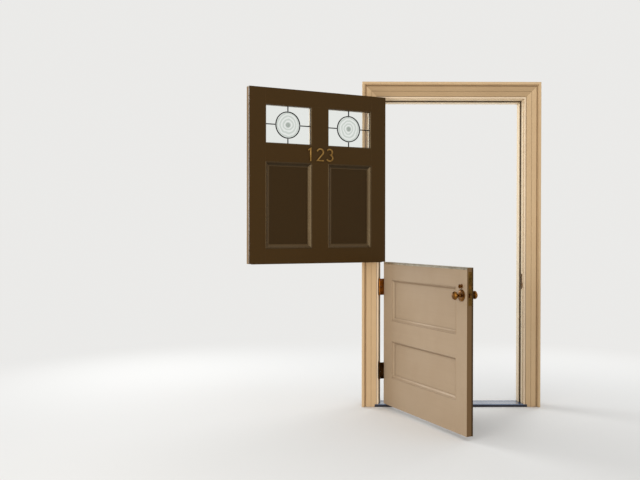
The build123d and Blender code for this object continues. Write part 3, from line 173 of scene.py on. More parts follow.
def paint_chip(red, green, blue):
    """A colour as it reads on a screen, 0 to 255, turned into the linear light that a shader mixes."""
    parts = []
    for value in (red, green, blue):
        share = value / 255
        parts.append(share / 12.92 if share <= 0.04045 else ((share + 0.055) / 1.055) ** 2.4)
    return (*parts, 1.0)


print("a mid grey chip", [round(v, 3) for v in paint_chip(128, 128, 128)])

# %% Sky, floor and lamps
bpy.context.scene.view_settings.view_transform = "Standard"
SKY = (0.83, 0.825, 0.81, 1.0)
SKY_LIGHT = (0.96, 0.98, 1.0, 1.0)
SKY_STRENGTH = 0.66
FLOOR_SIZE = 60.0
FLOOR_CENTRE = (-0.4, -0.4, -0.5 * MM)
FLOOR_TONE = (0.80, 0.79, 0.77, 1.0)
FADE_START, FADE_END = 1.5, 4.2


def seen_directly(tree):
    """1 for rays from the camera, a mirror or a pane, so that all three see the same pale background."""
    path = add(tree, "ShaderNodeLightPath")
    both = maths(tree, "MAXIMUM", path.outputs["Is Camera Ray"], path.outputs["Is Glossy Ray"])
    return maths(tree, "MAXIMUM", both, path.outputs["Is Transmission Ray"])


world = bpy.data.worlds.new("studio")
world.use_nodes = True
bpy.context.scene.world = world
tree = world.node_tree
tree.nodes.clear()
lit = add(tree, "ShaderNodeBackground", None, {"Color": SKY_LIGHT, "Strength": SKY_STRENGTH})
shown = add(tree, "ShaderNodeBackground", None, {"Color": SKY, "Strength": 1.0})
either = add(tree, "ShaderNodeMixShader", None,
             {0: seen_directly(tree), 1: lit.outputs[0], 2: shown.outputs[0]})
add(tree, "ShaderNodeOutputWorld", None, {"Surface": either.outputs[0]})

mesh = bpy.data.meshes.new("studio_floor")
half = FLOOR_SIZE / 2
corners = [(-half, -half, 0), (half, -half, 0), (half, half, 0), (-half, half, 0)]
mesh.from_pydata(corners, [], [(0, 1, 2, 3)])
floor = bpy.data.objects.new("studio_floor", mesh)
floor.location = FLOOR_CENTRE
bpy.context.scene.collection.objects.link(floor)
floor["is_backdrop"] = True
pale = bpy.data.materials.new("studio_floor")
pale.use_nodes = True
tree = pale.node_tree
tree.nodes.clear()
place = add(tree, "ShaderNodeTexCoord").outputs["Object"]
far_out = ramp(tree, vectors(tree, "LENGTH", place), FADE_START, FADE_END)
fade = maths(tree, "MULTIPLY", far_out, seen_directly(tree))
near = add(tree, "ShaderNodeBsdfDiffuse", None, {"Color": FLOOR_TONE})
far = add(tree, "ShaderNodeEmission", None, {"Color": SKY, "Strength": 1.0})
either = add(tree, "ShaderNodeMixShader", None, {0: fade, 1: near.outputs[0], 2: far.outputs[0]})
add(tree, "ShaderNodeOutputMaterial", None, {"Surface": either.outputs[0]})
mesh.materials.append(pale)

LAMPS = {
    "left_front": {"at": (-3.4, -4.4, 1.6), "size": (2.4, 3.2), "watts": 84, "colour": (1.0, 0.96, 0.90)},
    "front": {"at": (-0.2, -6.6, 1.7), "size": (3.6, 2.0), "watts": 60, "colour": (1.0, 0.95, 0.88)},
    "ceiling": {"at": (0.3, -2.4, 4.3), "size": (3.4, 2.2), "watts": 11, "colour": (1.0, 0.98, 0.95)},
    "day_left": {"at": (-3.9, 2.7, 2.45), "size": (2.4, 3.0), "watts": 112, "colour": (0.96, 0.98, 1.0)},
    "day_right": {"at": (2.9, 3.6, 1.9), "size": (2.4, 3.2), "watts": 96, "colour": (0.96, 0.98, 1.0)},
}
LAMPS_AIM = Vector((-0.3, -0.2, 1.1))
for name, say in LAMPS.items():
    data = bpy.data.lights.new(name, "AREA")
    data.shape, data.size, data.size_y = "RECTANGLE", *say["size"]
    data.energy, data.color = say["watts"], say["colour"]
    lamp = bpy.data.objects.new(name, data)
    lamp.location = say["at"]
    lamp.rotation_euler = (LAMPS_AIM - lamp.location).to_track_quat("-Z", "Y").to_euler()
    lamp.visible_camera = lamp.visible_transmission = False
    bpy.context.scene.collection.objects.link(lamp)
print("lamps", {name: say["watts"] for name, say in LAMPS.items()})

# %% [markdown]
# Shared effects
# Brush marks, soft arrises, dust and painted shade in corners and patchy ageing turn up on nearly every part
# of a door.
# Each could be drawn again inside every material, but then a change would have to be made many times.
# A node group is built once, with named inputs and outputs, and placed in each material with its own values.

# %% A helper that starts a group
KINDS = {"float": "NodeSocketFloat", "vector": "NodeSocketVector"}


def new_group(name, inputs, outputs):
    """An empty node group, with its inputs as (name, kind, value) and its outputs as (name, kind)."""
    tree = bpy.data.node_groups.new(name, "ShaderNodeTree")
    for label, kind, value in inputs:
        socket = tree.interface.new_socket(name=label, in_out="INPUT", socket_type=KINDS[kind])
        if value is not None:
            socket.default_value = value
    for label, kind in outputs:
        tree.interface.new_socket(name=label, in_out="OUTPUT", socket_type=KINDS[kind])
    given = tree.nodes.new("NodeGroupInput").outputs
    result = tree.nodes.new("NodeGroupOutput").inputs
    return tree, given, result


def use(tree, group, inputs):
    """Places a group in a material and returns its outputs."""
    return add(tree, "ShaderNodeGroup", {"node_tree": group}, inputs).outputs


print("socket kinds", sorted(KINDS))

# %% [markdown]
# Brush marks
# Paint put on by hand keeps the long faint furrows of the bristles, and its colour varies a little with them.
# A wave would be too regular. Noise that is stretched in the direction of the stroke looks like bristles.
# The stretch is a vector, so that the strokes run up a stile and along a rail.

# %% Group: brush marks
def noise(tree, place, scale, detail, roughness=0.5):
    """A cloudy noise at a place, from 0 to 1."""
    return add(tree, "ShaderNodeTexNoise", None,
               {"Vector": place, "Scale": scale, "Detail": detail, "Roughness": roughness}).outputs[0]


BRUSH, given, result = new_group(
    "Brush marks",
    [("Place", "vector", None), ("Stretch", "vector", (1, 1, 1))],
    [("Height", "float"), ("Streak", "float")])
spread = vectors(BRUSH, "MULTIPLY", given["Place"], given["Stretch"])
fine = noise(BRUSH, spread, 1.0, 3.0)
wide = noise(BRUSH, spread, 0.22, 2.0)
summed = maths(BRUSH, "ADD", maths(BRUSH, "MULTIPLY", fine, 0.6), maths(BRUSH, "MULTIPLY", wide, 0.4))
BRUSH.links.new(summed, result["Height"])
BRUSH.links.new(ramp(BRUSH, wide, 0.34, 0.68), result["Streak"])
print(BRUSH.name, [s.name for s in BRUSH.interface.items_tree])

# %% [markdown]
# Soft arrises
# A planed edge is never a perfect corner: paint and sandpaper round it, and hands wear it.
# The Bevel node bends the normal near an edge, so that the edge catches light as a rounded one does.
# How far it bends also tells where an edge is, and that mask is used for wear.

# %% Group: arris
def surface_normal(tree):
    """The direction in which a face looks."""
    return add(tree, "ShaderNodeNewGeometry").outputs["Normal"]


ARRIS, given, result = new_group("Arris", [("Radius", "float", 0.001)],
                                 [("Normal", "vector"), ("Edge", "float")])
rounded = add(ARRIS, "ShaderNodeBevel", {"samples": 4}, {"Radius": given["Radius"]}).outputs[0]
match = vectors(ARRIS, "DOT_PRODUCT", rounded, surface_normal(ARRIS))
ARRIS.links.new(rounded, result["Normal"])
ARRIS.links.new(ramp(ARRIS, match, 0.995, 0.86), result["Edge"])
print(ARRIS.name, "turns a normal within", given["Radius"].name)

# %% [markdown]
# Dust and painted shade in corners
# Dust and old polish stay where a cloth can't reach: in quirks, round beads and under moulding edges, and the
# same mask also paints in the shade that falls there.
# Ambient occlusion measures how shut-in a spot is, from the shapes close to it and not from the camera.

# %% Group: corner dust and painted shade
DUST_AND_SHADE, given, result = new_group("Corner dust and shade", [("Reach", "float", 0.01), ("Amount", "float", 0.5)],
                                [("Mask", "float")])
open_share = add(DUST_AND_SHADE, "ShaderNodeAmbientOcclusion", {"samples": 6, "only_local": False},
                 {"Distance": given["Reach"]}).outputs["AO"]
mask = ramp(DUST_AND_SHADE, open_share, 0.92, 0.25)
DUST_AND_SHADE.links.new(maths(DUST_AND_SHADE, "MULTIPLY", mask, given["Amount"]), result["Mask"])
print(DUST_AND_SHADE.name, "ready")

# %% [markdown]
# Patches
# Nothing ages evenly. Sun, hands and weather leave soft cloudy patches in colour and gloss.
# One noise is enough, pushed apart so that patches have a middle and an edge. Each use gives its own size.

# %% Group: patches
PATCHES, given, result = new_group("Patches", [("Place", "vector", None), ("Scale", "float", 4.0)],
                                   [("Mask", "float")])
cloud = noise(PATCHES, given["Place"], given["Scale"], 5.0, 0.55)
PATCHES.links.new(ramp(PATCHES, cloud, 0.36, 0.64), result["Mask"])
print(PATCHES.name, "ready")

# %% [markdown]
# Painted wood
# Every wooden part is oil-painted: a warm cream indoors and a deep brown outdoors.
# The brown is taken a few millimetres round the edge of each leaf, and the rest of the edge is a darker tan.
# Two materials could be given out face by face by hand, but the CAD meshes aren't touched here.
# Instead one material measures how deep in the leaf it is, on the shut door, and picks its coat from that.
# The faces of the frame that are hidden once it is built in were never painted, and stay bare pine.

# %% Paint
CREAM = paint_chip(208, 178, 139)
# The head casing wears the casing cream darkened, as painted shade.
CREAM_HEAD_SHADED = paint_chip(182, 153, 117)
# The bead round the opening is the cream lightened, as painted daylight.
CREAM_BEAD_LIT = paint_chip(234, 211, 181)
CREAM_JAMB = paint_chip(236, 216, 184)
# The leaves' indoor cream is the casing cream darkened, as painted shade.
CREAM_LEAF_SHADED = paint_chip(166, 144, 119)
EDGE_TAN = paint_chip(106, 81, 54)
BROWN = paint_chip(54, 34, 6)
BROWN_PANEL = paint_chip(43, 26, 4)
DUST_AND_SHADE_TONE = paint_chip(92, 72, 52)
BARE_WOOD = paint_chip(150, 108, 66)
PINE = paint_chip(200, 168, 122)
PINE_GRAIN = paint_chip(164, 124, 80)
STREAK_TINT = (0.55, 0.50, 0.44, 1.0)
PATCH_TINT = (0.62, 0.52, 0.42, 1.0)
PINE_TINT = (0.86, 0.80, 0.72, 1.0)
# The tint for faces that look down, as painted shade.
UNDER_SHADE_TINT = (0.30, 0.26, 0.22, 1.0)
SHEEN_TINT = (1.0, 0.80, 0.50, 1.0)
BAND_MITRE = 1657 * MM
FACE_DEPTH = 0.7 * MM
WRAP_DEPTH = 33.0 * MM
BEAD_ACROSS = 13 * MM
BORDER = 0.3 * MM
STROKE_FINE, STROKE_LONG = 640.0, 7.0


def new_material(name):
    """An empty material, with its node tree and its shader."""
    material = bpy.data.materials.new(name)
    material.use_nodes = True
    return material, material.node_tree, material.node_tree.nodes["Principled BSDF"]


def split(tree, vector, axis):
    """One part of a vector: X, Y or Z."""
    return add(tree, "ShaderNodeSeparateXYZ", None, {0: vector}).outputs[axis]


def bump(tree, height, strength, deep, normal=None):
    """The normal of a surface with fine relief on it."""
    inputs = {"Height": height, "Strength": strength, "Distance": deep}
    if normal is not None:
        inputs["Normal"] = normal
    return add(tree, "ShaderNodeBump", None, inputs).outputs[0]


def past(tree, value, line, soft):
    """0 before a line and 1 past it, with a soft border. A negative soft turns it round."""
    return ramp(tree, value, line - soft, line + soft)


def stretch(direction):
    """Strokes that run along x, y or z."""
    return tuple(STROKE_LONG if axis == direction else STROKE_FINE for axis in "xyz")


def place_on_leaf(tree, body):
    """Where a spot is on the shut door, as a vector socket."""
    spot = add(tree, "ShaderNodeTexCoord").outputs["Object"]
    if body not in SWING:
        return spot
    back = add(tree, "ShaderNodeVectorRotate", {"rotation_type": "Z_AXIS"},
               {"Vector": spot, "Center": PIN, "Angle": SWING[body]})
    return back.outputs[0]


def behind_face(tree, depth):
    """1 on a leaf's edge and outdoor face, 0 on its indoor face."""
    return past(tree, depth, FACE_DEPTH, 0.2 * FACE_DEPTH)


def coat(tree, spot, tones):
    """The coat at a spot: one tone, a bead lightened as painted light, or room, edge and outside tones by
    depth.
    """
    if "bead" in tones:
        axis, inner = tones["bead_from"]
        across = maths(tree, "ABSOLUTE", split(tree, spot, axis))
        past_bead = past(tree, across, inner + BEAD_ACROSS, BORDER)
        return blend_colour(tree, past_bead, tones["bead"], tones["all"])
    if "room" not in tones:
        return tones["all"]
    depth = split(tree, spot, "Y")
    if "edge" in tones:
        inner = blend_colour(tree, behind_face(tree, depth), tones["room"], tones["edge"])
        return blend_colour(tree, past(tree, depth, WRAP_DEPTH, BORDER), inner, tones["outside"])
    return blend_colour(tree, past(tree, depth, LEAF_THICK / 2, 0.2 * MM), tones["room"], tones["outside"])


def bare_edge(tree, spot):
    """1 on the edges of a leaf, between its two faces."""
    depth = split(tree, spot, "Y")
    return maths(tree, "MULTIPLY", behind_face(tree, depth), past(tree, depth, WRAP_DEPTH, -BORDER))


def hidden_side(tree, spot, towards):
    """1 on the faces that are built in. Towards is a direction, or "away" for out from the opening."""
    if towards == "away":
        towards = vectors(tree, "NORMALIZE", vectors(tree, "MULTIPLY", spot, (1, 0, 0)))
    match = vectors(tree, "DOT_PRODUCT", surface_normal(tree), towards)
    return ramp(tree, match, 0.9, 0.97)


def round_the_frame(tree, spot):
    """Turns strokes from upright to level above the mitres of a piece that goes up, over and down."""
    parts = add(tree, "ShaderNodeSeparateXYZ", None, {0: spot}).outputs
    above = maths(tree, "SUBTRACT", parts["Z"], maths(tree, "ABSOLUTE", parts["X"]))
    turned_spot = add(tree, "ShaderNodeCombineXYZ", None,
                      {0: parts["Z"], 1: parts["Y"], 2: parts["X"]}).outputs[0]
    return blend_colour(tree, maths(tree, "GREATER_THAN", above, BAND_MITRE), spot, turned_spot)


def turned_down(tree):
    """1 on faces that look down, which are darkened there as painted shade."""
    return ramp(tree, split(tree, surface_normal(tree), "Z"), -0.04, -0.3)


def painted(name, body, direction, tones, gloss=0.36, sheen=0.26, wear=0.35, grime_and_shade=0.8, hidden=None,
            under=0.0):
    """One coat of brushed oil paint, for a part whose strokes run in one direction."""
    material, tree, shader = new_material(name)
    spot = place_on_leaf(tree, body)
    level_spot = spot
    if direction == "round":
        direction, level_spot = "z", round_the_frame(tree, spot)
    brush = use(tree, BRUSH, {"Place": level_spot, "Stretch": stretch(direction)})
    arris = use(tree, ARRIS, {"Radius": 1.1 * MM})
    dust_and_shade = use(tree, DUST_AND_SHADE, {"Reach": 9 * MM, "Amount": grime_and_shade})
    patch = use(tree, PATCHES, {"Place": spot, "Scale": 3.2})
    chips = use(tree, PATCHES, {"Place": spot, "Scale": 46.0})
    tone = coat(tree, spot, tones)
    tone = blend_colour(tree, maths(tree, "MULTIPLY", brush["Streak"], 0.045), tone, STREAK_TINT, "MULTIPLY")
    tone = blend_colour(tree, maths(tree, "MULTIPLY", patch["Mask"], 0.10), tone, PATCH_TINT, "MULTIPLY")
    # Corners, quirks and beads are darkened here: partly dust, partly painted shade.
    tone = blend_colour(tree, dust_and_shade["Mask"], tone, DUST_AND_SHADE_TONE, "MULTIPLY")
    worn = maths(tree, "MULTIPLY", arris["Edge"], maths(tree, "MULTIPLY", chips["Mask"], wear))
    tone = blend_colour(tree, worn, tone, BARE_WOOD)
    if hidden:
        grain = use(tree, BRUSH, {"Place": level_spot, "Stretch": tuple(0.3 * v for v in stretch(direction))})
        pine = blend_colour(tree, grain["Streak"], PINE, PINE_GRAIN)
        pine = blend_colour(tree, patch["Mask"], pine, PINE_TINT, "MULTIPLY")
        tone = blend_colour(tree, hidden_side(tree, spot, hidden), tone, pine)
    rough = maths(tree, "ADD", maths(tree, "MULTIPLY", patch["Mask"], 0.10),
                  maths(tree, "ADD", maths(tree, "MULTIPLY", dust_and_shade["Mask"], 0.25), gloss))
    if "edge_dull" in tones:
        rough = maths(tree, "ADD", rough, maths(tree, "MULTIPLY", bare_edge(tree, spot), tones["edge_dull"]))
    # Faces that look down are darkened as painted shade, and their gloss is dulled.
    if under:
        low = maths(tree, "MULTIPLY", turned_down(tree), under)
        tone = blend_colour(tree, low, tone, UNDER_SHADE_TINT, "MULTIPLY")
        rough = maths(tree, "ADD", rough, maths(tree, "MULTIPLY", low, 0.45))
    normal = bump(tree, brush["Height"], 0.16, 0.35 * MM, arris["Normal"])
    feed(tree, shader, {"Base Color": tone, "Roughness": rough, "Normal": normal,
                        "Specular IOR Level": sheen, "Specular Tint": SHEEN_TINT})
    return material


LOWER_MEMBER = {"room": CREAM_LEAF_SHADED, "edge": EDGE_TAN, "outside": BROWN}
THIN_PART = {"room": CREAM_LEAF_SHADED, "outside": BROWN}
UPPER_EDGE = paint_chip(132, 106, 76)
UPPER_MEMBER = {"room": CREAM_LEAF_SHADED, "edge": UPPER_EDGE, "outside": BROWN, "edge_dull": 0.45}
PANEL_COAT = {"room": CREAM_LEAF_SHADED, "outside": BROWN_PANEL}
LEG_INNER = min(v.co.x for v in nodes["casing_right"].data.vertices)
HEAD_INNER = min(v.co.z for v in nodes["casing_head"].data.vertices)
LEG_COAT = {"all": CREAM, "bead": CREAM_BEAD_LIT, "bead_from": ("X", LEG_INNER)}
HEAD_COAT = {"all": CREAM_HEAD_SHADED, "bead": CREAM_BEAD_LIT, "bead_from": ("Z", HEAD_INNER)}
BACK, UP = (0, 1, 0), (0, 0, 1)
paints = {
    # The grime value sets how far dust and painted shade darken the corners.
    "lower_up": painted("lower_paint_upright", "lower_leaf", "z", LOWER_MEMBER, grime_and_shade=0.4),
    "lower_across": painted("lower_paint_across", "lower_leaf", "x", LOWER_MEMBER, grime_and_shade=0.4),
    "lower_panel": painted("lower_paint_panel", "lower_leaf", "x", THIN_PART, grime_and_shade=0.3),
    # The under value darkens faces that look down as painted shade.
    "lower_moulding": painted("lower_paint_moulding", "lower_leaf", "x", THIN_PART, grime_and_shade=0.2, under=0.4),
    "upper_up": painted("upper_paint_upright", "upper_leaf", "z", UPPER_MEMBER),
    "upper_across": painted("upper_paint_across", "upper_leaf", "x", UPPER_MEMBER),
    "upper_panel": painted("upper_paint_panel", "upper_leaf", "z", PANEL_COAT),
    "upper_moulding": painted("upper_paint_moulding", "upper_leaf", "z", THIN_PART, 0.2, 0.6),
    "upper_outdoors": painted("upper_paint_outdoors", "upper_leaf", "z", THIN_PART, 0.2, 0.6, under=1.0),
    "casing_up": painted("casing_paint_upright", "frame", "z", LEG_COAT, grime_and_shade=0.35, hidden=BACK),
    "jamb_up": painted("jamb_paint_upright", "frame", "z", {"all": CREAM_JAMB}, hidden="away"),
    "jamb_across": painted("jamb_paint_across", "frame", "x", {"all": CREAM_JAMB}, hidden=UP),
    "band_round": painted("back_band_paint", "frame", "round", {"all": CREAM}, grime_and_shade=0.35, hidden=BACK),
    "casing_across": painted("casing_paint_across", "frame", "x", HEAD_COAT, grime_and_shade=0.35, hidden=BACK),
    "outside_up": painted("outside_paint", "frame", "z", {"all": BROWN}),
}
print("paints", sorted(paints))

# %% Which part wears which coat
DRESS = {
    "lower_up": ["lower_hinge_stile", "lower_lock_stile"],
    "lower_across": ["lower_bottom_rail", "lower_lock_rail", "lower_top_rail"],
    "lower_panel": ["lower_panel_bottom", "lower_panel_top"],
    "lower_moulding": ["lower_mouldings_inside", "lower_mouldings_outside"],
    "upper_up": ["upper_hinge_stile", "upper_lock_stile", "upper_muntins"],
    "upper_across": ["upper_bottom_rail", "upper_cross_rail", "upper_top_rail"],
    "upper_panel": ["upper_panel_hinge_side", "upper_panel_lock_side"],
    "upper_moulding": ["upper_mouldings_inside", "glazing_beads"],
    "upper_outdoors": ["upper_mouldings_outside"],
    "casing_up": ["casing_left", "casing_right"],
    "band_round": ["back_band"],
    "jamb_up": ["jamb_hinge_side", "jamb_strike_side"],
    "casing_across": ["casing_head"],
    "jamb_across": ["jamb_head"],
    "outside_up": ["brickmould"],
}
dressed = set()


def dress(parts, material):
    """Gives CAD nodes their finish."""
    for part in parts:
        for place in nodes[part].material_slots:
            place.material = material
        dressed.add(part)


for coat_name, parts in DRESS.items():
    dress(parts, paints[coat_name])
print("painted parts", len(dressed))

# %% [markdown]
# Brass and bronze
# The knobs, roses and plates are unlacquered brass that hands keep bright and air turns brown.
# The hinges are the same metal left alone, gone to a dark reddish bronze.
# A metal's colour is the colour of its reflection, so tarnish is both a darker tint and a duller gloss.
# It gathers in patches and in corners, and rubbing clears it from edges.

# %% Metals
def metal(name, bright, dark, share, rough=(0.22, 0.48), grain=None, wear=0.8, body="frame"):
    """A metal with tarnish: bright where rubbed, dark in patches and corners."""
    material, tree, shader = new_material(name)
    spot = place_on_leaf(tree, body)
    patch = use(tree, PATCHES, {"Place": spot, "Scale": 55.0})
    cloud = use(tree, PATCHES, {"Place": spot, "Scale": 13.0})
    arris = use(tree, ARRIS, {"Radius": 0.5 * MM})
    dust_and_shade = use(tree, DUST_AND_SHADE, {"Reach": 5 * MM, "Amount": 0.9})
    aged = maths(tree, "ADD", maths(tree, "MULTIPLY", patch["Mask"], 0.35),
                 maths(tree, "MULTIPLY", cloud["Mask"], 0.35))
    aged = maths(tree, "ADD", maths(tree, "ADD", aged, share), dust_and_shade["Mask"])
    aged = maths(tree, "SUBTRACT", aged, maths(tree, "MULTIPLY", arris["Edge"], wear), clamp=True)
    height = patch["Mask"]
    if grain:
        height = use(tree, BRUSH, {"Place": spot, "Stretch": grain})["Height"]
    feed(tree, shader, {"Base Color": blend_colour(tree, aged, bright, dark), "Metallic": 1.0,
                        "Roughness": ramp(tree, aged, 0.0, 1.0, rough[0], rough[1]),
                        "Normal": bump(tree, height, 0.12, 0.1 * MM, arris["Normal"])})
    return material


BRASS_BRIGHT = paint_chip(152, 103, 45)
BRASS_DARK = paint_chip(58, 31, 8)
metals = {
    "lock_brass": metal("aged_brass", BRASS_BRIGHT, BRASS_DARK, 0.14, (0.17, 0.44), body="lower_leaf"),
    "bolt_brass": metal("bolt_brass", BRASS_BRIGHT, BRASS_DARK, 0.10, body="upper_leaf"),
    "frame_brass": metal("strike_brass", BRASS_BRIGHT, BRASS_DARK, 0.10),
    "plate_brass": metal("plate_brass", paint_chip(124, 92, 44), paint_chip(62, 44, 16), 0.2, (0.3, 0.5),
                         body="lower_leaf"),
    "hinge_brass": metal("hinge_bronze", paint_chip(166, 100, 36), paint_chip(66, 35, 9), 0.16, (0.3, 0.55),
                         wear=0.5),
    # The lowest hinge is the same bronze darkened, as painted shade.
    "hinge_shaded": metal("hinge_bronze_shaded", paint_chip(92, 60, 28), paint_chip(34, 20, 8), 0.4, (0.36, 0.6),
                        wear=0.4),
    "cap_metal": metal("cap_alloy", paint_chip(187, 178, 159), paint_chip(131, 122, 105), 0.0, (0.3, 0.42),
                       grain=(6.0, 900.0, 900.0), wear=0.2, body="lower_leaf"),
    "lock_steel": metal("case_steel", paint_chip(150, 148, 144), paint_chip(84, 80, 76), 0.15, (0.35, 0.55),
                        body="lower_leaf"),
    "lead": metal("came_lead", paint_chip(34, 32, 30), paint_chip(14, 13, 12), 0.15, (0.42, 0.66), wear=0.3,
                  body="upper_leaf"),
}
METAL_PARTS = {
    "lock_brass": ["knob_inside", "knob_outside", "rose_inside", "rose_outside", "thumb_plate", "thumb_turn",
                   "cylinder_outside", "latch_bolt", "dead_bolt"],
    "plate_brass": ["lock_faceplate"],
    "bolt_brass": ["flush_bolt", "flush_bolt_plate"],
    "frame_brass": ["strike_plate"],
    "hinge_brass": [n for n in nodes if n.startswith("hinge_") and "lower_bottom" not in n],
    # The lowest hinge takes the darkened bronze, as painted shade.
    "hinge_shaded": [n for n in nodes if n.startswith("hinge_") and "lower_bottom" in n],
    "cap_metal": ["lower_cap"],
    "lock_steel": ["lock_case", "spindle"],
    "lead": ["cames_hinge_side", "cames_lock_side"],
}
for metal_name, parts in METAL_PARTS.items():
    dress(parts, metals[metal_name])
print("metal parts", sum(len(p) for p in METAL_PARTS.values()))

# %% [markdown]
# Seals and sill
# The strips that the leaves close against are soft brown rubber, dull and faintly ribbed along their length.
# The sill is hard wood under a dark varnish, with its top painted slate blue as a painted reflection of the
# sky, and bare at its edges.
# Its varnish is a clear coat over the wood, which is why it mirrors the bright floor at a low angle.

# %% Rubber
SEALS = ["weatherstrip", "meeting_seal"]
rubber, tree, shader = new_material("seal_rubber")
spot = place_on_leaf(tree, "frame")
ribs = use(tree, BRUSH, {"Place": spot, "Stretch": (260.0, 900.0, 260.0)})
dust_and_shade = use(tree, DUST_AND_SHADE, {"Reach": 6 * MM, "Amount": 0.5})
patch = use(tree, PATCHES, {"Place": spot, "Scale": 9.0})
tone = blend_colour(tree, patch["Mask"], paint_chip(58, 43, 25), paint_chip(84, 65, 41))
# The rubber is darker in its corners: partly dust, partly painted shade.
tone = blend_colour(tree, dust_and_shade["Mask"], tone, paint_chip(32, 23, 13))
feed(tree, shader, {"Base Color": tone, "Roughness": ramp(tree, patch["Mask"], 0.0, 1.0, 0.55, 0.75),
                    "Normal": bump(tree, ribs["Height"], 0.3, 0.3 * MM)})
dress(SEALS, rubber)
print("rubber on", SEALS)

# %% Varnished wood
SILL_DARK = paint_chip(24, 22, 34)
SILL_FIBRE = paint_chip(24, 26, 40)
SILL_TOP_SKY_REFLECTION = [paint_chip(66, 88, 122), paint_chip(88, 112, 148)]
sill, tree, shader = new_material("sill_wood")
spot = place_on_leaf(tree, "frame")
fibre = use(tree, BRUSH, {"Place": spot, "Stretch": (9.0, 520.0, 520.0)})
bent = vectors(tree, "MULTIPLY", spot, (1.1, 26.0, 26.0))
rings = add(tree, "ShaderNodeTexWave", {"wave_type": "BANDS", "bands_direction": "Y"},
            {"Vector": bent, "Scale": 0.5, "Distortion": 5.0, "Detail": 3.0, "Detail Scale": 1.2})
arris = use(tree, ARRIS, {"Radius": 1.6 * MM})
patch = use(tree, PATCHES, {"Place": spot, "Scale": 7.0})
# The top is painted slate blue as a painted reflection of the sky; the front keeps the dark wood.
top = ramp(tree, split(tree, surface_normal(tree), "Z"), 0.35, 0.85)
tone = blend_colour(tree, top, SILL_DARK, blend_colour(tree, rings.outputs["Fac"], *SILL_TOP_SKY_REFLECTION))
tone = blend_colour(tree, maths(tree, "MULTIPLY", fibre["Streak"], 0.5), tone, SILL_FIBRE)
worn = maths(tree, "MULTIPLY", arris["Edge"], maths(tree, "MULTIPLY", patch["Mask"], 0.5))
dull_front = maths(tree, "MULTIPLY", maths(tree, "SUBTRACT", 1.0, top), 0.4)
polish = maths(tree, "ADD", ramp(tree, patch["Mask"], 0.0, 1.0, 0.2, 0.34), dull_front)
feed(tree, shader, {"Base Color": blend_colour(tree, worn, tone, BARE_WOOD), "Roughness": polish,
                    "Normal": bump(tree, fibre["Height"], 0.15, 0.3 * MM, arris["Normal"]),
                    "Coat Weight": maths(tree, "MULTIPLY", top, 0.6),
                    "Coat Roughness": 0.12, "Coat IOR": 1.6})
dress(["threshold"], sill)
print("sill dressed")

# %% [markdown]
# Old glass
# Each light has four plain quarries round a spun roundel, the thick middle of a blown disc.
# The rings of the spin and the knob where the rod was broken off are shaped in the mesh.
# What is added is the faint waviness of drawn glass, a trace of green, and darker rings and a darker pontil,
# which are partly the thicker glass and partly painted refraction of dark surroundings.
# Clear glass in Cycles blocks lamps, so a shadow ray is let through by a transparent shader.

# %% Glass
GLASS_CLEAR = (0.93, 0.96, 0.94, 1.0)
GLASS_RING_TINT_AND_REFRACTION = (0.54, 0.62, 0.56, 1.0)
GLASS_PONTIL_TINT_AND_REFRACTION = (0.42, 0.47, 0.43, 1.0)
GLASS_SHADOW = (0.90, 0.92, 0.90, 1.0)
RING_SPACING = 21 * MM
RING_WANDER = 26 * MM
PONTIL_EDGE, PONTIL_MIDDLE = 23 * MM, 9 * MM
ROUNDEL_RADIUS = 85 * MM
ROUNDEL_X = {}
for side in ("hinge_side", "lock_side"):
    low, high = shut_box("cames_" + side, "upper_leaf")
    ROUNDEL_X[side] = (low.x + high.x) / 2
ROUNDEL_Z = (low.z + high.z) / 2
print("roundel middles, mm:", [round(x / MM, 1) for x in ROUNDEL_X.values()], round(ROUNDEL_Z / MM, 1))


def glass(name, centre_x):
    """Clear drawn glass with a spun roundel about one centre."""
    material, tree, shader = new_material(name)
    spot = place_on_leaf(tree, "upper_leaf")
    out = vectors(tree, "SUBTRACT", spot, (centre_x, LEAF_THICK / 2, ROUNDEL_Z))
    away = vectors(tree, "LENGTH", vectors(tree, "MULTIPLY", out, (1, 0, 1)))
    bent = maths(tree, "ADD", away, maths(tree, "MULTIPLY", noise(tree, spot, 15.0, 2.0), RING_WANDER))
    rings = maths(tree, "SINE", maths(tree, "MULTIPLY", bent, 2 * math.pi / RING_SPACING))
    rings = ramp(tree, rings, -1.0, 1.0)
    inside = ramp(tree, away, ROUNDEL_RADIUS, ROUNDEL_RADIUS - 3 * MM)
    # Rings and pontil are darkened, partly as thicker glass and partly as painted refraction.
    tint = blend_colour(tree, maths(tree, "MULTIPLY", rings, maths(tree, "MULTIPLY", inside, 0.6)),
                        GLASS_CLEAR, GLASS_RING_TINT_AND_REFRACTION)
    tint = blend_colour(tree, ramp(tree, away, PONTIL_EDGE, PONTIL_MIDDLE), tint, GLASS_PONTIL_TINT_AND_REFRACTION)
    height = maths(tree, "ADD", noise(tree, spot, 17.0, 1.0),
                   maths(tree, "MULTIPLY", rings, maths(tree, "MULTIPLY", inside, 0.4)))
    feed(tree, shader, {"Base Color": tint, "Normal": bump(tree, height, 0.35, 1.2 * MM),
                        "Roughness": 0.02, "IOR": 1.5, "Transmission Weight": 1.0})
    lamps_through = add(tree, "ShaderNodeBsdfTransparent", None, {"Color": GLASS_SHADOW})
    path = add(tree, "ShaderNodeLightPath")
    either = add(tree, "ShaderNodeMixShader", None,
                 {0: path.outputs["Is Shadow Ray"], 1: shader.outputs[0], 2: lamps_through.outputs[0]})
    feed(tree, tree.nodes["Material Output"], {"Surface": either.outputs[0]})
    return material


for side, centre in ROUNDEL_X.items():
    dress(["glass_" + side], glass("spun_glass_" + side, centre))
print("undressed nodes", sorted(set(nodes) - dressed))

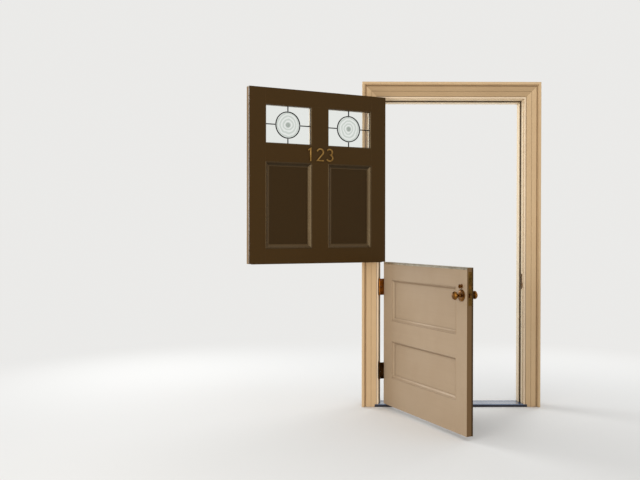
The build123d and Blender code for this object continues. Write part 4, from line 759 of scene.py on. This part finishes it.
# %% [markdown]
# Small pieces that ride on a body
# Screws, numerals and solder are too small for the CAD model, but a door looks bare without them.
# They are built as real meshes in code, with their own edges and slots, and not as plain cylinders.
# Each is drawn on the shut door, swung with its leaf, and then told which body it moves with.

# %% Helper: turn a drawn mesh into a piece
SHARP_FROM = math.radians(32)


def piece(name, mesh_maker, body, material):
    """Makes one piece from a bmesh drawn on the shut door, and lets it ride on a body."""
    drawn = bmesh.new()
    mesh_maker(drawn)
    bmesh.ops.recalc_face_normals(drawn, faces=drawn.faces)
    drawn.transform(swung(body))
    mesh = bpy.data.meshes.new(name)
    drawn.to_mesh(mesh)
    drawn.free()
    for face in mesh.polygons:
        face.use_smooth = True
    mesh.set_sharp_from_angle(angle=SHARP_FROM)
    made = bpy.data.objects.new(name, mesh)
    bpy.context.scene.collection.objects.link(made)
    mesh.materials.append(material)
    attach(made, body)


def circle(radius, height, angles):
    """Points at one height, at a radius from the middle axis."""
    return [Vector((radius * math.cos(a), radius * math.sin(a), height)) for a in angles]


def turned(drawn, profile, place, along, steps=20):
    """Spins a profile of (radius, height) pairs about an axis. A radius of 0 closes that end."""
    place = Vector(place)
    basis = Vector(along).normalized().to_track_quat("Z", "Y").to_matrix()
    angles = [2 * math.pi * k / steps for k in range(steps)]
    rings = []
    for radius, height in profile:
        spots = circle(radius, height, angles if radius else angles[:1])
        rings.append([drawn.verts.new(place + basis @ spot) for spot in spots])
    for low, high in zip(rings, rings[1:]):
        for k in range(steps):
            nxt = (k + 1) % steps
            corners = [low[k % len(low)], low[nxt % len(low)], high[nxt % len(high)], high[k % len(high)]]
            unique = list(dict.fromkeys(corners))
            if len(unique) > 2:
                drawn.faces.new(unique)


print("piece() and turned() are ready")

# %% [markdown]
# Slotted screws
# Doors of this age are hung with slotted countersunk screws, whose heads lie a hair under the plate.
# A head could be a disc with a dark line painted on it, but then it would look flat in raking light.
# Here the rim is spun from a profile, and the face is two half moons with the slot sunk between them.

# %% Screw maker
SLOT_SHARE = 0.13
SLOT_DEPTH_SHARE = 0.34
FLOOR_SHARE = 0.97
HEAD_SUNK = 0.15 * MM
MOON_STEPS = 12


def screw(drawn, place, out, size, tilt):
    """A countersunk slotted screw whose face looks along out, with its slot turned by tilt degrees."""
    head, shank, depth = size
    out = Vector(out).normalized()
    place = Vector(place) - out * HEAD_SUNK
    basis = out.to_track_quat("Z", "Y").to_matrix() @ Matrix.Rotation(math.radians(tilt), 3, "Z")
    half, sunk, cone = head * SLOT_SHARE, head * SLOT_DEPTH_SHARE, head - shank
    start = math.asin(half / head)
    moons = [[side + start + (math.pi - 2 * start) * k / MOON_STEPS for k in range(MOON_STEPS + 1)]
             for side in (0, math.pi)]

    def verts(spots):
        return [drawn.verts.new(place + basis @ Vector(spot)) for spot in spots]

    rim = [verts(circle(head, 0, angles)) for angles in moons]
    for moon in rim:
        drawn.faces.new(moon)
    corners = ((1, 1), (-1, 1), (-1, -1), (1, -1))
    floor = verts([(head * FLOOR_SHARE * s, half * t, -sunk) for s, t in corners])
    drawn.faces.new(floor)
    drawn.faces.new([rim[0][0], rim[0][-1], floor[1], floor[0]])
    drawn.faces.new([rim[1][0], rim[1][-1], floor[3], floor[2]])
    loop = rim[0] + rim[1]
    under = verts(circle(shank, -cone, moons[0] + moons[1]))
    bottom = [drawn.verts.new(v.co - out * (depth - cone)) for v in under]
    slot_ends = {MOON_STEPS: (floor[1], floor[2]), len(loop) - 1: (floor[3], floor[0])}
    for k in range(len(loop)):
        nxt = (k + 1) % len(loop)
        drawn.faces.new([loop[k], *slot_ends.get(k, ()), loop[nxt], under[nxt], under[k]])
        drawn.faces.new([under[k], under[nxt], bottom[nxt], bottom[k]])
    drawn.faces.new(bottom)


def screws(name, spots, out, size, body, material):
    """A set of screws as one piece. Their slots stop at different turns, as they do when driven by hand."""
    def draw(drawn):
        for count, spot in enumerate(spots):
            screw(drawn, spot, out, size, 23 + 67 * count % 180)
    piece(name, draw, body, material)


# Each size is the radius of the head, the radius of the shank and the length.
HINGE_SCREW = (4.4 * MM, 2.3 * MM, 3.0 * MM)
PLATE_SCREW = (3.4 * MM, 1.9 * MM, 1.8 * MM)
JAMB_SCREW = (2.9 * MM, 2.0 * MM, 14 * MM)
SET_SCREW = (2.1 * MM, 1.7 * MM, 3.0 * MM)
LEAF_EDGE, RABBET_FACE = 503, 506
LEFT, RIGHT = (-1, 0, 0), (1, 0, 0)
HINGE_MIDDLES = {"lower_bottom": 258.5, "lower_top": 847.5, "upper_bottom": 1190.0, "upper_top": 1926.0}
HINGE_HOLES = [(9, -45.15), (27, -30.15), (27, 30.15), (9, 45.15)]
for hinge, middle in HINGE_MIDDLES.items():
    leaf = hinge.split("_")[0] + "_leaf"
    for body, face, out in ((leaf, -LEAF_EDGE, LEFT), ("frame", -RABBET_FACE, RIGHT)):
        spots = [(face * MM, y * MM, (middle + z) * MM) for y, z in HINGE_HOLES]
        screws(f"hinge_screws_{hinge}_{body}", spots, out, HINGE_SCREW,
               body, metals["hinge_brass"])
print("hinge screws", 2 * len(HINGE_MIDDLES) * len(HINGE_HOLES))

# %% Screws of the lock, strike and flush bolt
LEAF_MIDDLE = 22.25
BOLT_X = 463
PLATE_SCREWS = {
    "faceplate_screws": ("lower_leaf", "lock_brass", RIGHT, (LEAF_EDGE, LEAF_MIDDLE), (987, 805)),
    "strike_screws": ("frame", "frame_brass", LEFT, (RABBET_FACE, LEAF_MIDDLE), (836, 929)),
    "flush_bolt_screws": ("upper_leaf", "bolt_brass", (0, -1, 0), (BOLT_X, 0), (1052.5, 1188.5)),
}
for name, (body, finish, out, (x, y), heights) in PLATE_SCREWS.items():
    spots = [(x * MM, y * MM, z * MM) for z in heights]
    screws(name, spots, out, PLATE_SCREW, body, metals[finish])
JAMB_HOLES = [120, 560, 1560, 2080]
for side, face, out in (("hinge_side", -RABBET_FACE, RIGHT), ("strike_side", RABBET_FACE, LEFT)):
    spots = [(face * MM, LEAF_MIDDLE * MM, z * MM) for z in JAMB_HOLES]
    screws("jamb_screws_" + side, spots, out, JAMB_SCREW, "frame", paints["jamb_up"])
print("plate screws", 2 * len(PLATE_SCREWS), "jamb screws", 2 * len(JAMB_HOLES))

# %% [markdown]
# Numerals
# Three slim brass numerals stand on studs on the rail under the lights. They are 1, 2 and 3, for no one door.
# Blender's text tool would bring in somebody's lettering, so each figure is drawn here from lines and arcs.
# A ribbon with bevelled edges is swept along each stroke, which gives the even width of cut brass sheet.

# %% Ribbon maker
RIBBON_WIDE = 9.6 * MM
RIBBON_THICK = 3.0 * MM
RIBBON_BEVEL = 0.9 * MM


def ribbon(drawn, path, back):
    """Sweeps a flat bar with bevelled edges along a line of (x, z) points, its back at depth back."""
    wide, thick, cut = RIBBON_WIDE / 2, RIBBON_THICK, RIBBON_BEVEL
    section = [(-wide, 0), (wide, 0), (wide, thick - cut), (wide - cut, thick), (cut - wide, thick),
               (-wide, thick - cut)]
    rings = []
    for k, (x, z) in enumerate(path):
        before = Vector(path[k]) - Vector(path[k - 1]) if k else Vector(path[1]) - Vector(path[0])
        after = Vector(path[k + 1]) - Vector(path[k]) if k + 1 < len(path) else before
        before, after = before.normalized(), after.normalized()
        along = (before + after).normalized()
        side = Vector((-along.y, along.x))
        grow = 1 / max(0.5, side.dot(Vector((-before.y, before.x))))
        spots = [(x + side.x * s * grow, back + t, z + side.y * s * grow) for s, t in section]
        rings.append([drawn.verts.new(spot) for spot in spots])
    for first, second in zip(rings, rings[1:]):
        for k in range(len(section)):
            nxt = (k + 1) % len(section)
            drawn.faces.new([first[k], first[nxt], second[nxt], second[k]])
    drawn.faces.new(rings[0])
    drawn.faces.new(rings[-1])


def arc(middle_x, middle_z, radius_x, radius_z, start, end, steps=22):
    """Points along part of an oval, by degrees."""
    angles = [math.radians(start + (end - start) * k / steps) for k in range(steps + 1)]
    return [(middle_x + radius_x * math.cos(a), middle_z + radius_z * math.sin(a)) for a in angles]


STROKES = {
    "numeral_1": [[(-15, 71), (4, 82.4), (4, 0)]],
    "numeral_2": [arc(0, 61, 22.5, 21.2, 168, -28) + [(-22, 4.8), (25, 4.8)]],
    "numeral_3": [arc(-1, 62.6, 20, 19.6, 150, -88), arc(-1, 24.8, 23, 20, 90, -152)],
}
NUMERAL_PLACE = {"numeral_1": 75.0, "numeral_2": 1.0, "numeral_3": -69.5}
NUMERAL_BASE = 1699.0
STAND_OFF = 3.0 * MM
STUD_RADIUS = 1.6 * MM
STUD_SUNK = 0.2 * MM
STUD = [(0, -STUD_SUNK), (STUD_RADIUS, -STUD_SUNK), (STUD_RADIUS, STAND_OFF), (0, STAND_OFF)]
STUD_SPOTS = {
    "numeral_1": [(4, 12), (4, 66)],
    "numeral_2": [(18, 48), (-6, 4.8)],
    "numeral_3": [(17, 68), (20, 20)],
}
numeral_brass = metal("numeral_brass", paint_chip(176, 138, 78), paint_chip(96, 66, 28), 0.12, (0.28, 0.5),
                      body="upper_leaf")
for name, strokes in STROKES.items():
    place_x = NUMERAL_PLACE[name]

    def draw(drawn, strokes=strokes, place_x=place_x, studs=STUD_SPOTS[name]):
        for stroke in strokes:
            # Seen from outdoors, x runs the other way, so the figure is drawn mirrored in x.
            path = [((place_x - x) * MM, (NUMERAL_BASE + z) * MM) for x, z in stroke]
            ribbon(drawn, path, LEAF_THICK + STAND_OFF)
        for x, z in studs:
            turned(drawn, STUD, ((place_x - x) * MM, LEAF_THICK, (NUMERAL_BASE + z) * MM), BACK, 12)

    piece(name, draw, "upper_leaf", numeral_brass)
print("numerals", len(STROKES), "standing proud by", round((STAND_OFF + RIBBON_THICK) / MM, 1), "mm")

# %% [markdown]
# Solder on the cames
# Lead strips only hold together where they are soldered, on both faces, at every crossing.
# Each joint is a small flat puddle with a soft rim, a little brighter than the lead.
# The crossings are known: four bars meet the ring round each roundel, at its top, bottom and sides.

# %% Solder joints
BLOB = [(0, 0.55), (2.6, 0.5), (4.2, 0.2), (4.9, -0.25), (0, -0.3)]
solder = metal("solder", paint_chip(150, 152, 152), paint_chip(78, 80, 80), 0.15, (0.32, 0.5),
               body="upper_leaf")
for side, centre in ROUNDEL_X.items():
    low, high = shut_box("cames_" + side, "upper_leaf")

    def draw(drawn, centre=centre, low=low, high=high):
        for degrees in (0, 90, 180, 270):
            turn_by = math.radians(degrees)
            x = centre + ROUNDEL_RADIUS * math.cos(turn_by)
            z = ROUNDEL_Z + ROUNDEL_RADIUS * math.sin(turn_by)
            for depth, out in ((low.y, -1), (high.y, 1)):
                turned(drawn, [(r * MM, h * MM) for r, h in BLOB], (x, depth, z), (0, out, 0), 16)

    piece("solder_" + side, draw, "upper_leaf", solder)
print("solder joints", len(ROUNDEL_X) * 2 * 4)

# %% [markdown]
# Set screws
# Each knob is held on its square spindle by one small screw in the side of its neck.
# It is a headless slotted screw, so only its slotted end shows, sunk just under the metal.

# %% Set screws of the knobs
knob_low, knob_high = shut_box("knob_inside", "lower_leaf")
KNOB_X, KNOB_Z = (knob_low.x + knob_high.x) / 2, (knob_low.z + knob_high.z) / 2
WAIST_RADIUS = 7.6 * MM
WAIST_OFF_FACE = 19 * MM
for side, depth in (("inside", -WAIST_OFF_FACE), ("outside", LEAF_THICK + WAIST_OFF_FACE)):
    spot = (KNOB_X, depth, KNOB_Z - WAIST_RADIUS)
    screws("set_screw_" + side, [spot], (0, 0, -1), SET_SCREW, "knobs", metals["lock_steel"])
print("knob middle, mm:", round(KNOB_X / MM, 1), round(KNOB_Z / MM, 1), "set screws", 2)

# %% [markdown]
# The last look: the box that the dressed door fills is measured.

# %% Measure the box of the dressed door and finish
low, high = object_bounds()
